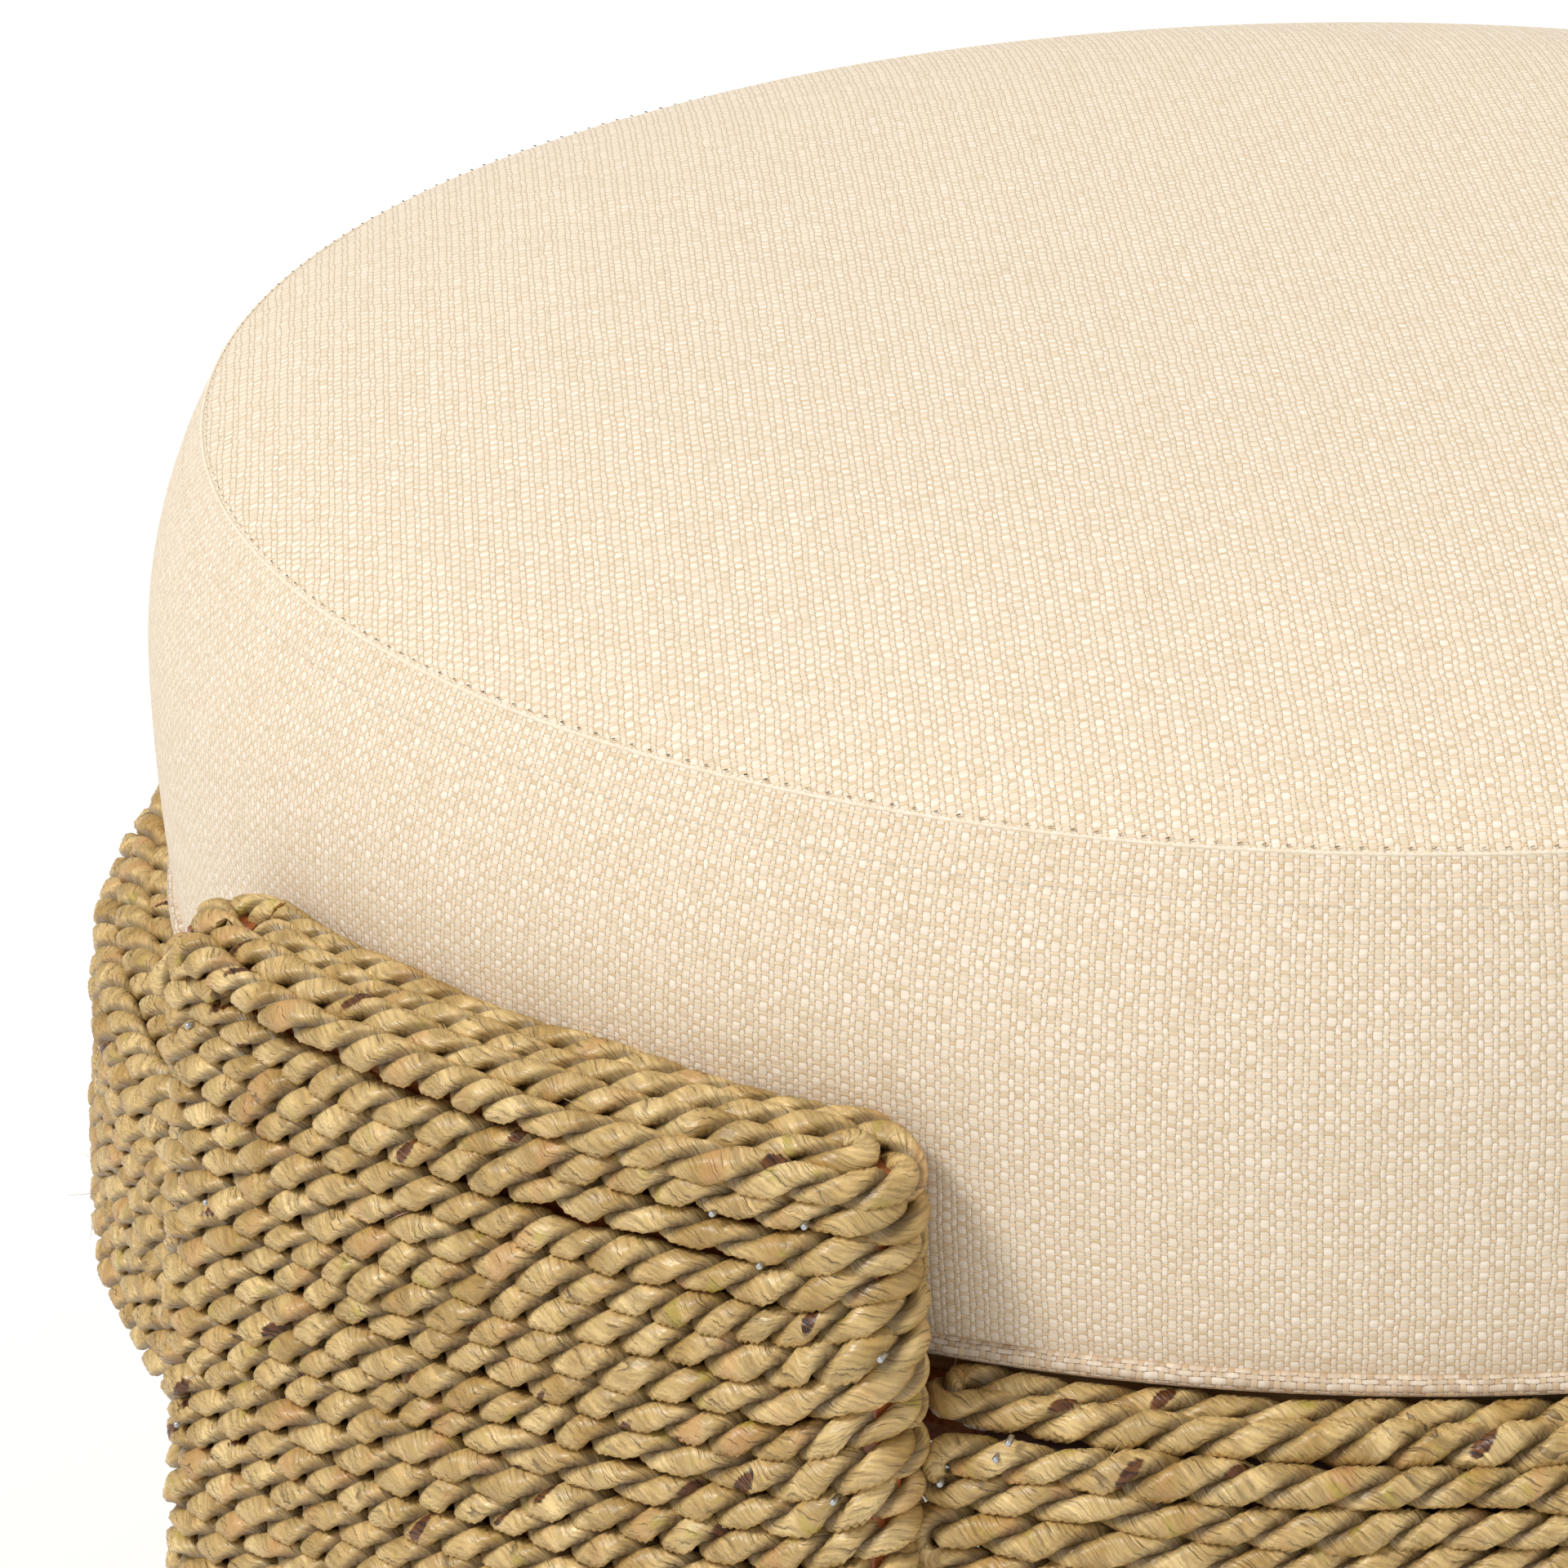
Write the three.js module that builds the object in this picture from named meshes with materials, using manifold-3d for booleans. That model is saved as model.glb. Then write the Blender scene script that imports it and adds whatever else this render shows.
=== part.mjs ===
// Round outdoor ottoman: a loose boxed cushion that drops into a rattan frame wound with seagrass rope.
// Millimetres, +Z up. The origin is on the floor under the middle of the ottoman. The four wide legs stand
// on the diagonals, 45 degrees off the axes, and rise past the seat to hold the cushion.
import * as THREE from 'three';
import { mergeVertices } from 'three/addons/utils/BufferGeometryUtils.js';
import Module from 'manifold-3d';

const wasm = await Module();
wasm.setup();

// Fits shared by all the pieces
const fitGap = 0.3; // clearance between pieces that touch
const cutOverrun = 1; // how far a cutting tool runs past the face that it opens
const mergeDistance = 1e-4; // points nearer than this are one

// Heights above the floor
const seatHeight = 310.7; // top face of the deck that carries the cushion
const legHeight = 367; // top of the rope roll on a leg

// Cushion
const cushionWidestRadius = 283.2;
const bottomDrawIn = 3.8; // how far the side draws in from the widest to the bottom edge
const topDrawIn = 14.8; // and from the widest to the top seam
const boxingHeight = 113.6; // from the bottom face to the top seam
const crownRise = 30; // from the top seam to the middle of the crown
const coverThickness = 1.2;
const weltDiameter = 4.6;
const widestHeightShare = 0.53; // where the boxing is widest, of its height
const crownPower = 2.4; // the higher, the flatter the middle of the crown

// Rope
const ropeDepth = 5.6; // of the wound rope, which is pressed against the core of the leg
const ropeGap = 0.6; // between neighbouring turns

// Frame poles
const postDiameter = 14.6;
const railDiameter = 14.6;
const ringDiameter = 14.6;

// Legs, seen from in front of each: left is the clockwise end
const legNames = ['leg_front_right', 'leg_back_right', 'leg_back_left', 'leg_front_left'];
const legFirstAzimuth = THREE.MathUtils.degToRad(45);
const legHalfAngle = THREE.MathUtils.degToRad(17.9); // from the middle of a leg to its posts
const splayAngle = THREE.MathUtils.degToRad(2.9); // how far the frame leans out towards the floor
const legLineShares = [-1, -1 / 3, 1 / 3, 1]; // corners of the middle line, of the half angle
const legTurns = 14; // each modelled turn is a band of three rope turns
const bandShoulderShare = 0.7; // how far out a band's shoulders reach, of the rope's thickness
const rollRopeDiameter = 6; // the rope laid along the top of a leg
const legStartHeight = 8; // lowest edge of the winding
const bottomRailHeight = 24;
const canesPerLeg = 11;
const caneDiameter = 13;
const glideDiameter = 14;
const glideHeight = 5;
const glideEdge = 1;
const glideStemDiameter = 5;
const glideStemLength = 14;

// Apron between the legs
const bayNames = ['apron_front', 'apron_right', 'apron_back', 'apron_left'];
const apronBottomDrop = 81; // from the deck top down to the lower edge of the rope
const apronCornerRadius = 14; // rounding of the rope rows over the top edge
const apronTurnOver = THREE.MathUtils.degToRad(54); // how far round the edge the last row lies
const apronRopeDiameter = 7.4;
const apronRows = 10;
const apronPanelThickness = 3.2;
const ringTopDrop = 11.8; // from the deck top down to the middle of the upper ring
const ringBottomDrop = 69.7;
const ringLegGap = 0.55; // from a seat ring to the rope on the inner side of a leg

// Deck
const deckThickness = 9;
const barWidth = 30;
const barHeight = 20;
const screwDiameter = 4;
const screwHeadDiameter = 8;
const screwHeadHeight = 2.4;
const screwLength = 22;
const screwCircleRadius = 190;
const screwCount = 4;

// How finely round things are faceted
const ringSegments = 60;
const cushionSegments = 36;
const boxingSteps = 4;
const crownShares = [0.88, 0.68, 0.4, 0];
const weltSides = 5;
const poleSides = 8;
const ringSides = 6;
const glideSides = 10;
const ropeSides = 6;
const apronRopeSides = 4;
const panelSteps = 4;
const cornerSteps = 3;
const caneAngles = [Math.PI / 6, Math.PI / 2, (5 * Math.PI) / 6];
const screwSides = 12;
const cornerRings = 3; // a winding bends round a corner in fewer rings than this

const fabric = new THREE.MeshStandardMaterial({ color: 0xecd9bb, roughness: 0.95, metalness: 0 });
const welting = new THREE.MeshStandardMaterial({ color: 0xe3cfb2, roughness: 0.95, metalness: 0 });
const foam = new THREE.MeshStandardMaterial({ color: 0xf2efe2, roughness: 1, metalness: 0 });
const seagrass = new THREE.MeshStandardMaterial({ color: 0xbba876, roughness: 0.8, metalness: 0 });
const rattan = new THREE.MeshStandardMaterial({ color: 0x9b5a2c, roughness: 0.55, metalness: 0 });
const plywood = new THREE.MeshStandardMaterial({ color: 0xc9a873, roughness: 0.75, metalness: 0 });
const nylon = new THREE.MeshStandardMaterial({ color: 0x2a2622, roughness: 0.6, metalness: 0 });
const steel = new THREE.MeshStandardMaterial({ color: 0xb9bcbe, roughness: 0.35, metalness: 1 });

const ottoman = new THREE.Group();

function place(group, name, geometry, material) {
  const mesh = new THREE.Mesh(geometry, material);
  mesh.name = name;
  group.add(mesh);
  return mesh;
}

// A lathe turns about Y, so the profile's height is Y and the result is stood up on Z.
function turned(profile, segments) {
  const geometry = new THREE.LatheGeometry(profile.map(([r, z]) => new THREE.Vector2(r, z)), segments);
  geometry.rotateX(Math.PI / 2);
  return geometry;
}

function closedProfile(points) {
  return [...points, points[0]];
}

function asSolid(geometry) {
  const bare = geometry.clone();
  bare.deleteAttribute('normal');
  bare.deleteAttribute('uv');
  const merged = mergeVertices(bare, mergeDistance);
  return new wasm.Manifold(new wasm.Mesh({
    numProp: 3,
    vertProperties: new Float32Array(merged.attributes.position.array),
    triVerts: new Uint32Array(merged.index.array),
  }));
}

function asGeometry(solid) {
  const mesh = solid.getMesh();
  const geometry = new THREE.BufferGeometry();
  geometry.setAttribute('position', new THREE.BufferAttribute(mesh.vertProperties, mesh.numProp));
  geometry.setIndex(new THREE.BufferAttribute(mesh.triVerts, 1));
  return geometry;
}

function onCircle(radius, azimuth, z) {
  return new THREE.Vector3(radius * Math.sin(azimuth), -radius * Math.cos(azimuth), z);
}

// The legs and aprons lean out: their plan is drawn at the top of the legs and spreads towards the floor.
function spreadAt(z) {
  return 1 + (Math.tan(splayAngle) * (legHeight - z)) / cushionWidestRadius;
}

function spread(point) {
  const share = spreadAt(point.z);
  return new THREE.Vector3(point.x * share, point.y * share, point.z);
}

const spreadRings = (rings) => rings.map((ring) => ring.map(spread));

function spreadGeometry(geometry) {
  const points = geometry.getAttribute('position');
  for (let i = 0; i < points.count; i += 1) {
    const moved = spread(new THREE.Vector3().fromBufferAttribute(points, i));
    points.setXYZ(i, moved.x, moved.y, moved.z);
  }
  return geometry;
}

// Joins rings of points into one closed tube with flat ends.
function skin(rings) {
  const sides = rings[0].length;
  const positions = rings.flat().flatMap((p) => [p.x, p.y, p.z]);
  const index = [];
  for (let i = 0; i + 1 < rings.length; i += 1) {
    for (let k = 0; k < sides; k += 1) {
      const a = i * sides + k;
      const b = i * sides + ((k + 1) % sides);
      index.push(a, b + sides, b, a, a + sides, b + sides);
    }
  }
  const last = (rings.length - 1) * sides;
  for (let k = 1; k + 1 < sides; k += 1) {
    index.push(0, k, k + 1);
    index.push(last, last + k + 1, last + k);
  }
  const geometry = new THREE.BufferGeometry();
  geometry.setAttribute('position', new THREE.Float32BufferAttribute(positions, 3));
  geometry.setIndex(index);
  return geometry;
}

// Rings of a section carried along a path that never runs straight up. The section stays upright: its first
// coordinate goes sideways, to the right of the way the path runs, and its second goes up.
function uprightRings(path, section) {
  return path.map((point, i) => {
    const before = path[Math.max(i - 1, 0)];
    const after = path[Math.min(i + 1, path.length - 1)];
    const into = new THREE.Vector2(point.x - before.x, point.y - before.y).normalize();
    const out = new THREE.Vector2(after.x - point.x, after.y - point.y).normalize();
    if (i === 0) into.copy(out);
    if (i === path.length - 1) out.copy(into);
    const sum = into.clone().add(out).normalize();
    const stretch = 1 / sum.dot(into);
    const side = new THREE.Vector2(sum.y, -sum.x).multiplyScalar(stretch);
    const sideways = new THREE.Vector3(side.x, side.y, 0);
    return section.map(([a, b]) => point.clone().addScaledVector(sideways, a).setZ(point.z + b));
  });
}

// Rings of a section carried along any path, mitred at its corners.
function mitredRings(path, section) {
  let along = path[1].clone().sub(path[0]).normalize();
  const right = along.clone().cross(new THREE.Vector3(0, 0, 1)).normalize();
  const up = right.clone().cross(along);
  let offsets = section.map(([a, b]) => right.clone().multiplyScalar(a).addScaledVector(up, b));
  return path.map((point, i) => {
    const next = i + 1 < path.length ? path[i + 1].clone().sub(point).normalize() : along;
    const mitre = along.clone().add(next).normalize();
    const onMitre = offsets.map((o) => o.clone().addScaledVector(along, -o.dot(mitre) / along.dot(mitre)));
    offsets = onMitre.map((o) => o.clone().addScaledVector(next, -o.dot(next)));
    along = next;
    return onMitre.map((o) => o.clone().add(point));
  });
}

// A round cut across with its flats, or else its corners, to the sides.
function roundSection(diameter, sides, flatsToTheSides = false) {
  const step = (2 * Math.PI) / sides;
  return Array.from({ length: sides }, (_, k) => {
    const angle = step * k + (flatsToTheSides ? step / 2 : 0);
    return [(diameter / 2) * Math.cos(angle), (diameter / 2) * Math.sin(angle)];
  });
}

// The least distance between points of one winding that don't lie round the same corner.
function leastGap(rings) {
  let least = Infinity;
  for (let i = 0; i < rings.length; i += 1) {
    for (let j = i + cornerRings; j < rings.length; j += 1) {
      for (const p of rings[i]) {
        for (const q of rings[j]) least = Math.min(least, p.distanceTo(q));
      }
    }
  }
  return least;
}

// Cushion

const cushion = new THREE.Group();
cushion.position.z = seatHeight + fitGap;
ottoman.add(cushion);

const cushionBottomRadius = cushionWidestRadius - bottomDrawIn;
const topSeamRadius = cushionWidestRadius - topDrawIn;
const boxingStart = weltDiameter + fitGap;
const widestHeight = boxingHeight * widestHeightShare;
const coreInset = coverThickness + fitGap;

// Radius of the boxing at a height: it swells to its widest a little over half way and draws in to the seam.
function boxingRadius(height) {
  const below = height < widestHeight;
  const edge = below ? cushionBottomRadius : topSeamRadius;
  const away = below ? 1 - height / widestHeight : (height - widestHeight) / (boxingHeight - widestHeight);
  return cushionWidestRadius - (cushionWidestRadius - edge) * away * away;
}

function boxingCurve(inset, steps) {
  const top = boxingHeight - fitGap;
  return Array.from({ length: steps + 1 }, (_, i) => {
    const height = boxingStart + ((top - boxingStart) * i) / steps;
    return [boxingRadius(height) - inset, height];
  });
}

// The crown runs from the seam in to the axis: flat in the middle and steeper towards the seam.
function crownCurve(inset, radiusShares) {
  return radiusShares.map((share) => {
    const rise = crownRise * (1 - share ** crownPower);
    return [(topSeamRadius - inset) * share, boxingHeight + rise - inset];
  });
}

function buildBoxing() {
  const wall = [
    ...boxingCurve(0, boxingSteps),
    ...boxingCurve(coverThickness, boxingSteps).reverse(),
  ];
  place(cushion, 'cushion_boxing', turned(closedProfile(wall), cushionSegments), fabric);
}

function buildTopPanel() {
  const dome = [
    ...crownCurve(coverThickness, crownShares).reverse(),
    [topSeamRadius - coverThickness, boxingHeight],
    [topSeamRadius, boxingHeight],
    ...crownCurve(0, crownShares),
  ];
  place(cushion, 'cushion_top_panel', turned(dome, cushionSegments), fabric);
}

function buildBottomPanel() {
  const radius = cushionBottomRadius - weltDiameter / 2 - fitGap;
  const disc = [[0, 0], [radius, 0], [radius, coverThickness], [0, coverThickness]];
  place(cushion, 'cushion_bottom_panel', turned(disc, cushionSegments), fabric);
}

function buildWelt() {
  const cord = roundSection(weltDiameter, weltSides)
    .map(([a, b]) => [cushionBottomRadius + a, weltDiameter / 2 + b]);
  place(cushion, 'cushion_welt', turned(closedProfile(cord), cushionSegments), welting);
}

function buildFoam() {
  const core = [
    [0, coreInset],
    [cushionBottomRadius - weltDiameter / 2 - coreInset, coreInset],
    ...boxingCurve(coreInset, boxingSteps),
    ...crownCurve(coreInset, crownShares),
  ];
  place(cushion, 'cushion_foam', turned(core, cushionSegments), foam);
}

buildBoxing();
buildTopPanel();
buildBottomPanel();
buildWelt();
buildFoam();

// Seat rings and deck

const frame = new THREE.Group();
ottoman.add(frame);

const postRadius = postDiameter / 2;
const windingOffset = postRadius + fitGap + ropeDepth / 2; // from the slab's middle to the rope's
const slabHalf = windingOffset + ropeDepth / 2;
const slabStep = legHalfAngle / (legLineShares.length - 1);
// The inner face of a leg just clears the cushion at the middle of each flat.
const legInnerRadius = cushionWidestRadius + fitGap;
const legMiddleRadius = (legInnerRadius + slabHalf) / Math.cos(slabStep);
const endTurn = Math.PI / 6; // half the bend at each of the three corners round the end of a leg
const legEndAngle = legHalfAngle + Math.atan(slabHalf / Math.cos(endTurn) / legMiddleRadius);

const bayEndClearance = (apronRopeDiameter / 2 + fitGap) / legMiddleRadius;
const bayHalfAngle = Math.PI / legNames.length - legEndAngle - bayEndClearance;
const panelStep = bayHalfAngle / (panelSteps / 2);

// The rings fit inside the legs, each at its own height, and the aprons fit round the rings. The flats of a
// panel come nearer to the middle than its corners do, and clear the rings.
const ringOuterRadius = legInnerRadius - ringLegGap;
const ringRadiusAt = (z) => ringOuterRadius * spreadAt(z) - ringDiameter / 2;
const deckRingInnerRadius = ringRadiusAt(seatHeight - ringTopDrop) - ringDiameter / 2;
const panelInnerRadius = (ringOuterRadius + fitGap) / Math.cos(panelStep / 2);
const panelOuterRadius = panelInnerRadius + apronPanelThickness;
const apronRopeRadius = panelOuterRadius + fitGap + apronRopeDiameter / 2;

function buildRing(name, drop) {
  const height = seatHeight - drop;
  const radius = ringRadiusAt(height);
  const section = roundSection(ringDiameter, ringSides).map(([a, b]) => [radius + a, height + b]);
  place(frame, name, turned(closedProfile(section), ringSegments), rattan);
}

function screwProfile(clearance, topOverrun) {
  const radius = screwDiameter / 2 + clearance;
  const headRadius = screwHeadDiameter / 2 + clearance;
  const rim = topOverrun > 0 ? [[headRadius, topOverrun]] : [];
  const tip = -screwLength - clearance;
  return [[0, tip], [radius, tip], [radius, -screwHeadHeight], [headRadius, 0], ...rim, [0, topOverrun]];
}

const screwPlaces = Array.from({ length: screwCount }, (_, i) => {
  const angle = (i * 2 * Math.PI) / screwCount;
  return onCircle(screwCircleRadius, angle, seatHeight);
});

function cutScrewHoles(geometry) {
  let solid = asSolid(geometry);
  screwPlaces.forEach((spot) => {
    const tool = turned(screwProfile(fitGap, cutOverrun), screwSides).translate(spot.x, spot.y, spot.z);
    solid = solid.subtract(asSolid(tool));
  });
  return asGeometry(solid);
}

function buildDeck() {
  const radius = deckRingInnerRadius - fitGap;
  const bottom = seatHeight - deckThickness;
  const disc = [[0, bottom], [radius, bottom], [radius, seatHeight], [0, seatHeight]];
  place(frame, 'seat_deck', cutScrewHoles(turned(disc, ringSegments)), plywood);
}

// The two bars cross in the middle with a half lap: one is notched from above, the other from below.
function barOutline(halfLength, top, notchedAbove) {
  const bottom = top - barHeight;
  const middle = (top + bottom) / 2 + (notchedAbove ? -fitGap : fitGap) / 2;
  const half = barWidth / 2 + fitGap;
  const notch = (edge) => [[half, edge], [half, middle], [-half, middle], [-half, edge]];
  const upper = [[halfLength, top], ...(notchedAbove ? notch(top) : []), [-halfLength, top]];
  const below = notchedAbove ? [] : notch(bottom).reverse();
  const lower = [[-halfLength, bottom], ...below, [halfLength, bottom]];
  return new THREE.Shape([...upper, ...lower].map(([x, z]) => new THREE.Vector2(x, z)));
}

function buildBar(name, notchedAbove, turn) {
  const reach = deckRingInnerRadius * Math.cos(Math.PI / ringSegments) - fitGap;
  const halfLength = Math.sqrt(reach * reach - (barWidth / 2) ** 2);
  const outline = barOutline(halfLength, seatHeight - deckThickness - fitGap, notchedAbove);
  const bar = new THREE.ExtrudeGeometry(outline, { depth: barWidth, bevelEnabled: false });
  bar.translate(0, 0, -barWidth / 2).rotateX(Math.PI / 2).rotateZ(turn);
  place(frame, name, cutScrewHoles(bar), rattan);
}

function buildDeckScrews() {
  screwPlaces.forEach((spot, i) => {
    const screw = place(frame, `deck_screw_${i + 1}`, turned(screwProfile(0, 0), screwSides), steel);
    screw.position.copy(spot);
  });
}

buildRing('seat_ring_upper', ringTopDrop);
buildRing('seat_ring_lower', ringBottomDrop);
buildDeck();
buildBar('cross_bar_sideways', true, 0);
buildBar('cross_bar_lengthwise', false, Math.PI / 2);
buildDeckScrews();

// Legs

const rollHeight = legHeight - rollRopeDiameter / 2;
const postTop = legHeight - rollRopeDiameter - fitGap;
const postBottom = glideHeight + fitGap;
const topRailHeight = postTop - railDiameter / 2;

const flat = (azimuth, radius) => new THREE.Vector2(radius * Math.sin(azimuth), -radius * Math.cos(azimuth));

// The middle line of a leg seen from above, from its left post to its right post.
function legLine(azimuth) {
  return legLineShares.map((share) => flat(azimuth + share * legHalfAngle, legMiddleRadius));
}

function directions(line) {
  return line.slice(1).map((point, i) => point.clone().sub(line[i]).normalize());
}

const outwards = (direction) => new THREE.Vector2(direction.y, -direction.x);

// Points beside the inner corners of a line, at a distance to its outer side.
function besideCorners(line, distance) {
  const ways = directions(line);
  return ways.slice(1).map((way, i) => {
    const sum = outwards(ways[i]).add(outwards(way)).normalize();
    return line[i + 1].clone().addScaledVector(sum, distance / sum.dot(outwards(way)));
  });
}

// Three points that take a rope round the end of a slab, from its outer to its inner side.
function roundTheEnd(end, ahead, distance, shift = 0) {
  const reach = distance / Math.cos(endTurn);
  const out = outwards(ahead);
  return [2 * endTurn, 0, -2 * endTurn].map((angle) => end.clone()
    .addScaledVector(ahead, reach * Math.cos(angle))
    .addScaledVector(out, reach * Math.sin(angle) + shift));
}

// One turn of rope round a leg, seen from above: from the middle of the inner side round the left end, along
// the face, round the right end and back to the middle of the inner side.
function legTurn(line, offset) {
  const ways = directions(line);
  const rightEnd = roundTheEnd(line.at(-1), ways.at(-1), offset);
  const leftEnd = roundTheEnd(line[0], ways[0].clone().negate(), offset);
  const [leftCorner, ...otherCorners] = besideCorners(line, -offset);
  return [leftCorner, ...leftEnd, ...besideCorners(line, offset), ...rightEnd, ...otherCorners.reverse()];
}

const bandPitch = (postTop - legStartHeight + ropeGap) / legTurns;
const bandHeight = bandPitch - ropeGap;

// A band of rope turns side by side: flat against the core and full on the outside.
function bandSection() {
  const half = bandHeight / 2;
  const inner = -ropeDepth / 2;
  const shoulder = inner + ropeDepth * bandShoulderShare;
  return [[inner, -half], [shoulder, -half], [ropeDepth / 2, 0], [shoulder, half], [inner, half]];
}

// The band lies level on the face and climbs to its next turn behind, on the middle of the inner side.
function buildLegWinding(name, line) {
  const turn = legTurn(line, windingOffset);
  const path = Array.from({ length: legTurns * turn.length }, (_, k) => {
    const spot = turn[k % turn.length];
    const height = legStartHeight + bandHeight / 2 + bandPitch * Math.floor(k / turn.length);
    return new THREE.Vector3(spot.x, spot.y, height);
  });
  const rings = spreadRings(uprightRings(path, bandSection()));
  place(frame, name, skin(rings), seagrass);
  return leastGap(rings);
}

// The rope laid along the top of a leg: once round the edge, then back inside itself.
function buildTopRoll(name, line) {
  const outer = slabHalf - rollRopeDiameter / 2;
  const inner = outer - rollRopeDiameter - ropeGap;
  const ways = directions(line);
  const back = ways[0].clone().negate();
  const start = line[0].clone().addScaledVector(outwards(ways[0]), outer);
  const drawnIn = roundTheEnd(line[0], back, (outer + inner) / 2, (outer - inner) / 2);
  const finish = line[0].clone().addScaledVector(outwards(ways[0]), -inner);
  const plan = [
    start,
    ...besideCorners(line, outer),
    ...roundTheEnd(line.at(-1), ways.at(-1), outer),
    ...besideCorners(line, -outer).reverse(),
    ...drawnIn,
    ...besideCorners(line, inner),
    ...roundTheEnd(line.at(-1), ways.at(-1), inner),
    ...besideCorners(line, -inner).reverse(),
    finish,
  ];
  const path = plan.map((spot) => new THREE.Vector3(spot.x, spot.y, rollHeight));
  const rings = spreadRings(uprightRings(path, roundSection(rollRopeDiameter, ropeSides)));
  place(frame, name, skin(rings), seagrass);
  return leastGap(rings);
}

function buildRail(name, line, height) {
  const ways = directions(line);
  const trim = postRadius + fitGap;
  const run = [
    line[0].clone().addScaledVector(ways[0], trim),
    ...line.slice(1, -1),
    line.at(-1).clone().addScaledVector(ways.at(-1), -trim),
  ];
  const path = run.map((spot) => new THREE.Vector3(spot.x, spot.y, height));
  const rings = spreadRings(uprightRings(path, roundSection(railDiameter, poleSides, true)));
  place(frame, name, skin(rings), rattan);
}

function buildPost(name, spot) {
  const bore = glideStemDiameter / 2 + fitGap;
  const boreDepth = glideStemLength;
  const length = postTop - postBottom;
  const boreWall = [[0, boreDepth], [bore, boreDepth], [bore, 0]];
  const profile = [...boreWall, [postRadius, 0], [postRadius, length], [0, length]];
  const upright = turned(profile, poleSides).translate(spot.x, spot.y, postBottom);
  place(frame, name, spreadGeometry(upright), rattan);
}

function buildGlide(name, spot) {
  const radius = glideDiameter / 2;
  const stem = glideStemDiameter / 2;
  const stemTop = glideHeight + glideStemLength;
  const profile = [
    [0, 0], [radius - glideEdge, 0], [radius, glideEdge], [radius, glideHeight],
    [stem, glideHeight], [stem, stemTop], [0, stemTop],
  ];
  const upright = turned(profile, glideSides).translate(spot.x, spot.y, 0);
  place(frame, name, spreadGeometry(upright), nylon);
}

// Rattan canes stand side by side between the posts. Glued together they are one scalloped panel.
function buildCanes(name, line) {
  const ways = directions(line);
  const spans = ways.map((_, i) => line[i].distanceTo(line[i + 1]));
  const total = spans.reduce((sum, span) => sum + span, 0) - 2 * (postRadius + fitGap);
  const pitch = total / canesPerLeg;
  const radius = Math.min(caneDiameter / 2, postRadius);
  const side = (sign) => Array.from({ length: canesPerLeg }, (_, i) => {
    let along = postRadius + fitGap + pitch * (i + 1 / 2);
    let segment = 0;
    while (along > spans[segment]) {
      along -= spans[segment];
      segment += 1;
    }
    const middle = line[segment].clone().addScaledVector(ways[segment], along);
    const out = outwards(ways[segment]);
    return caneAngles.map((angle) => middle.clone()
      .addScaledVector(ways[segment], -(pitch / 2) * Math.cos(angle))
      .addScaledVector(out, sign * radius * Math.sin(angle)));
  });
  const front = side(1).flat();
  const behind = side(-1).flat().reverse();
  const bottom = bottomRailHeight + railDiameter / 2 + fitGap;
  const top = topRailHeight - railDiameter / 2 - fitGap;
  const outline = new THREE.Shape([...front, ...behind]);
  const canes = new THREE.ExtrudeGeometry(outline, { depth: top - bottom, bevelEnabled: false });
  place(frame, name, spreadGeometry(canes.translate(0, 0, bottom)), rattan);
}

const gaps = { leg_winding: Infinity, top_roll: Infinity, apron_rope: Infinity };

legNames.forEach((leg, i) => {
  const azimuth = legFirstAzimuth + (i * 2 * Math.PI) / legNames.length;
  const line = legLine(azimuth);
  [['left', line[0]], ['right', line.at(-1)]].forEach(([hand, spot]) => {
    buildPost(`${leg}_post_${hand}`, spot);
    buildGlide(`${leg}_glide_${hand}`, spot);
  });
  buildRail(`${leg}_rail_top`, line, topRailHeight);
  buildRail(`${leg}_rail_bottom`, line, bottomRailHeight);
  buildCanes(`${leg}_canes`, line);
  gaps.leg_winding = Math.min(gaps.leg_winding, buildLegWinding(`${leg}_winding`, line));
  gaps.top_roll = Math.min(gaps.top_roll, buildTopRoll(`${leg}_top_roll`, line));
});

// Apron

const apronTopRow = seatHeight - apronRopeDiameter / 2;
const apronBottomRow = seatHeight - apronBottomDrop + apronRopeDiameter / 2;
const cornerHeight = apronTopRow - apronCornerRadius;
const cornerCentreRadius = apronRopeRadius - apronCornerRadius;

// Where each rope row runs, from the lowest: up the face, then over the rounded top edge.
function apronRowPlaces() {
  const face = cornerHeight - apronBottomRow;
  const length = face + apronCornerRadius * apronTurnOver;
  return Array.from({ length: apronRows }, (_, i) => {
    const along = (length * i) / (apronRows - 1);
    if (along <= face) return [apronRopeRadius, apronBottomRow + along];
    const angle = (along - face) / apronCornerRadius;
    return [
      cornerCentreRadius + apronCornerRadius * Math.cos(angle),
      cornerHeight + apronCornerRadius * Math.sin(angle),
    ];
  });
}

function bayAzimuths(azimuth) {
  return Array.from({ length: panelSteps + 1 }, (_, i) => azimuth - bayHalfAngle + i * panelStep);
}

// One rope goes to and fro across a bay, each row above the last.
function buildApronRope(name, azimuth) {
  const across = bayAzimuths(azimuth);
  const path = apronRowPlaces().flatMap(([radius, height], row) => {
    const run = across.map((angle) => onCircle(radius, angle, height));
    return row % 2 === 0 ? run : run.reverse();
  });
  const rings = spreadRings(mitredRings(path, roundSection(apronRopeDiameter, apronRopeSides)));
  place(frame, name, skin(rings), seagrass);
  return leastGap(rings);
}

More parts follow.
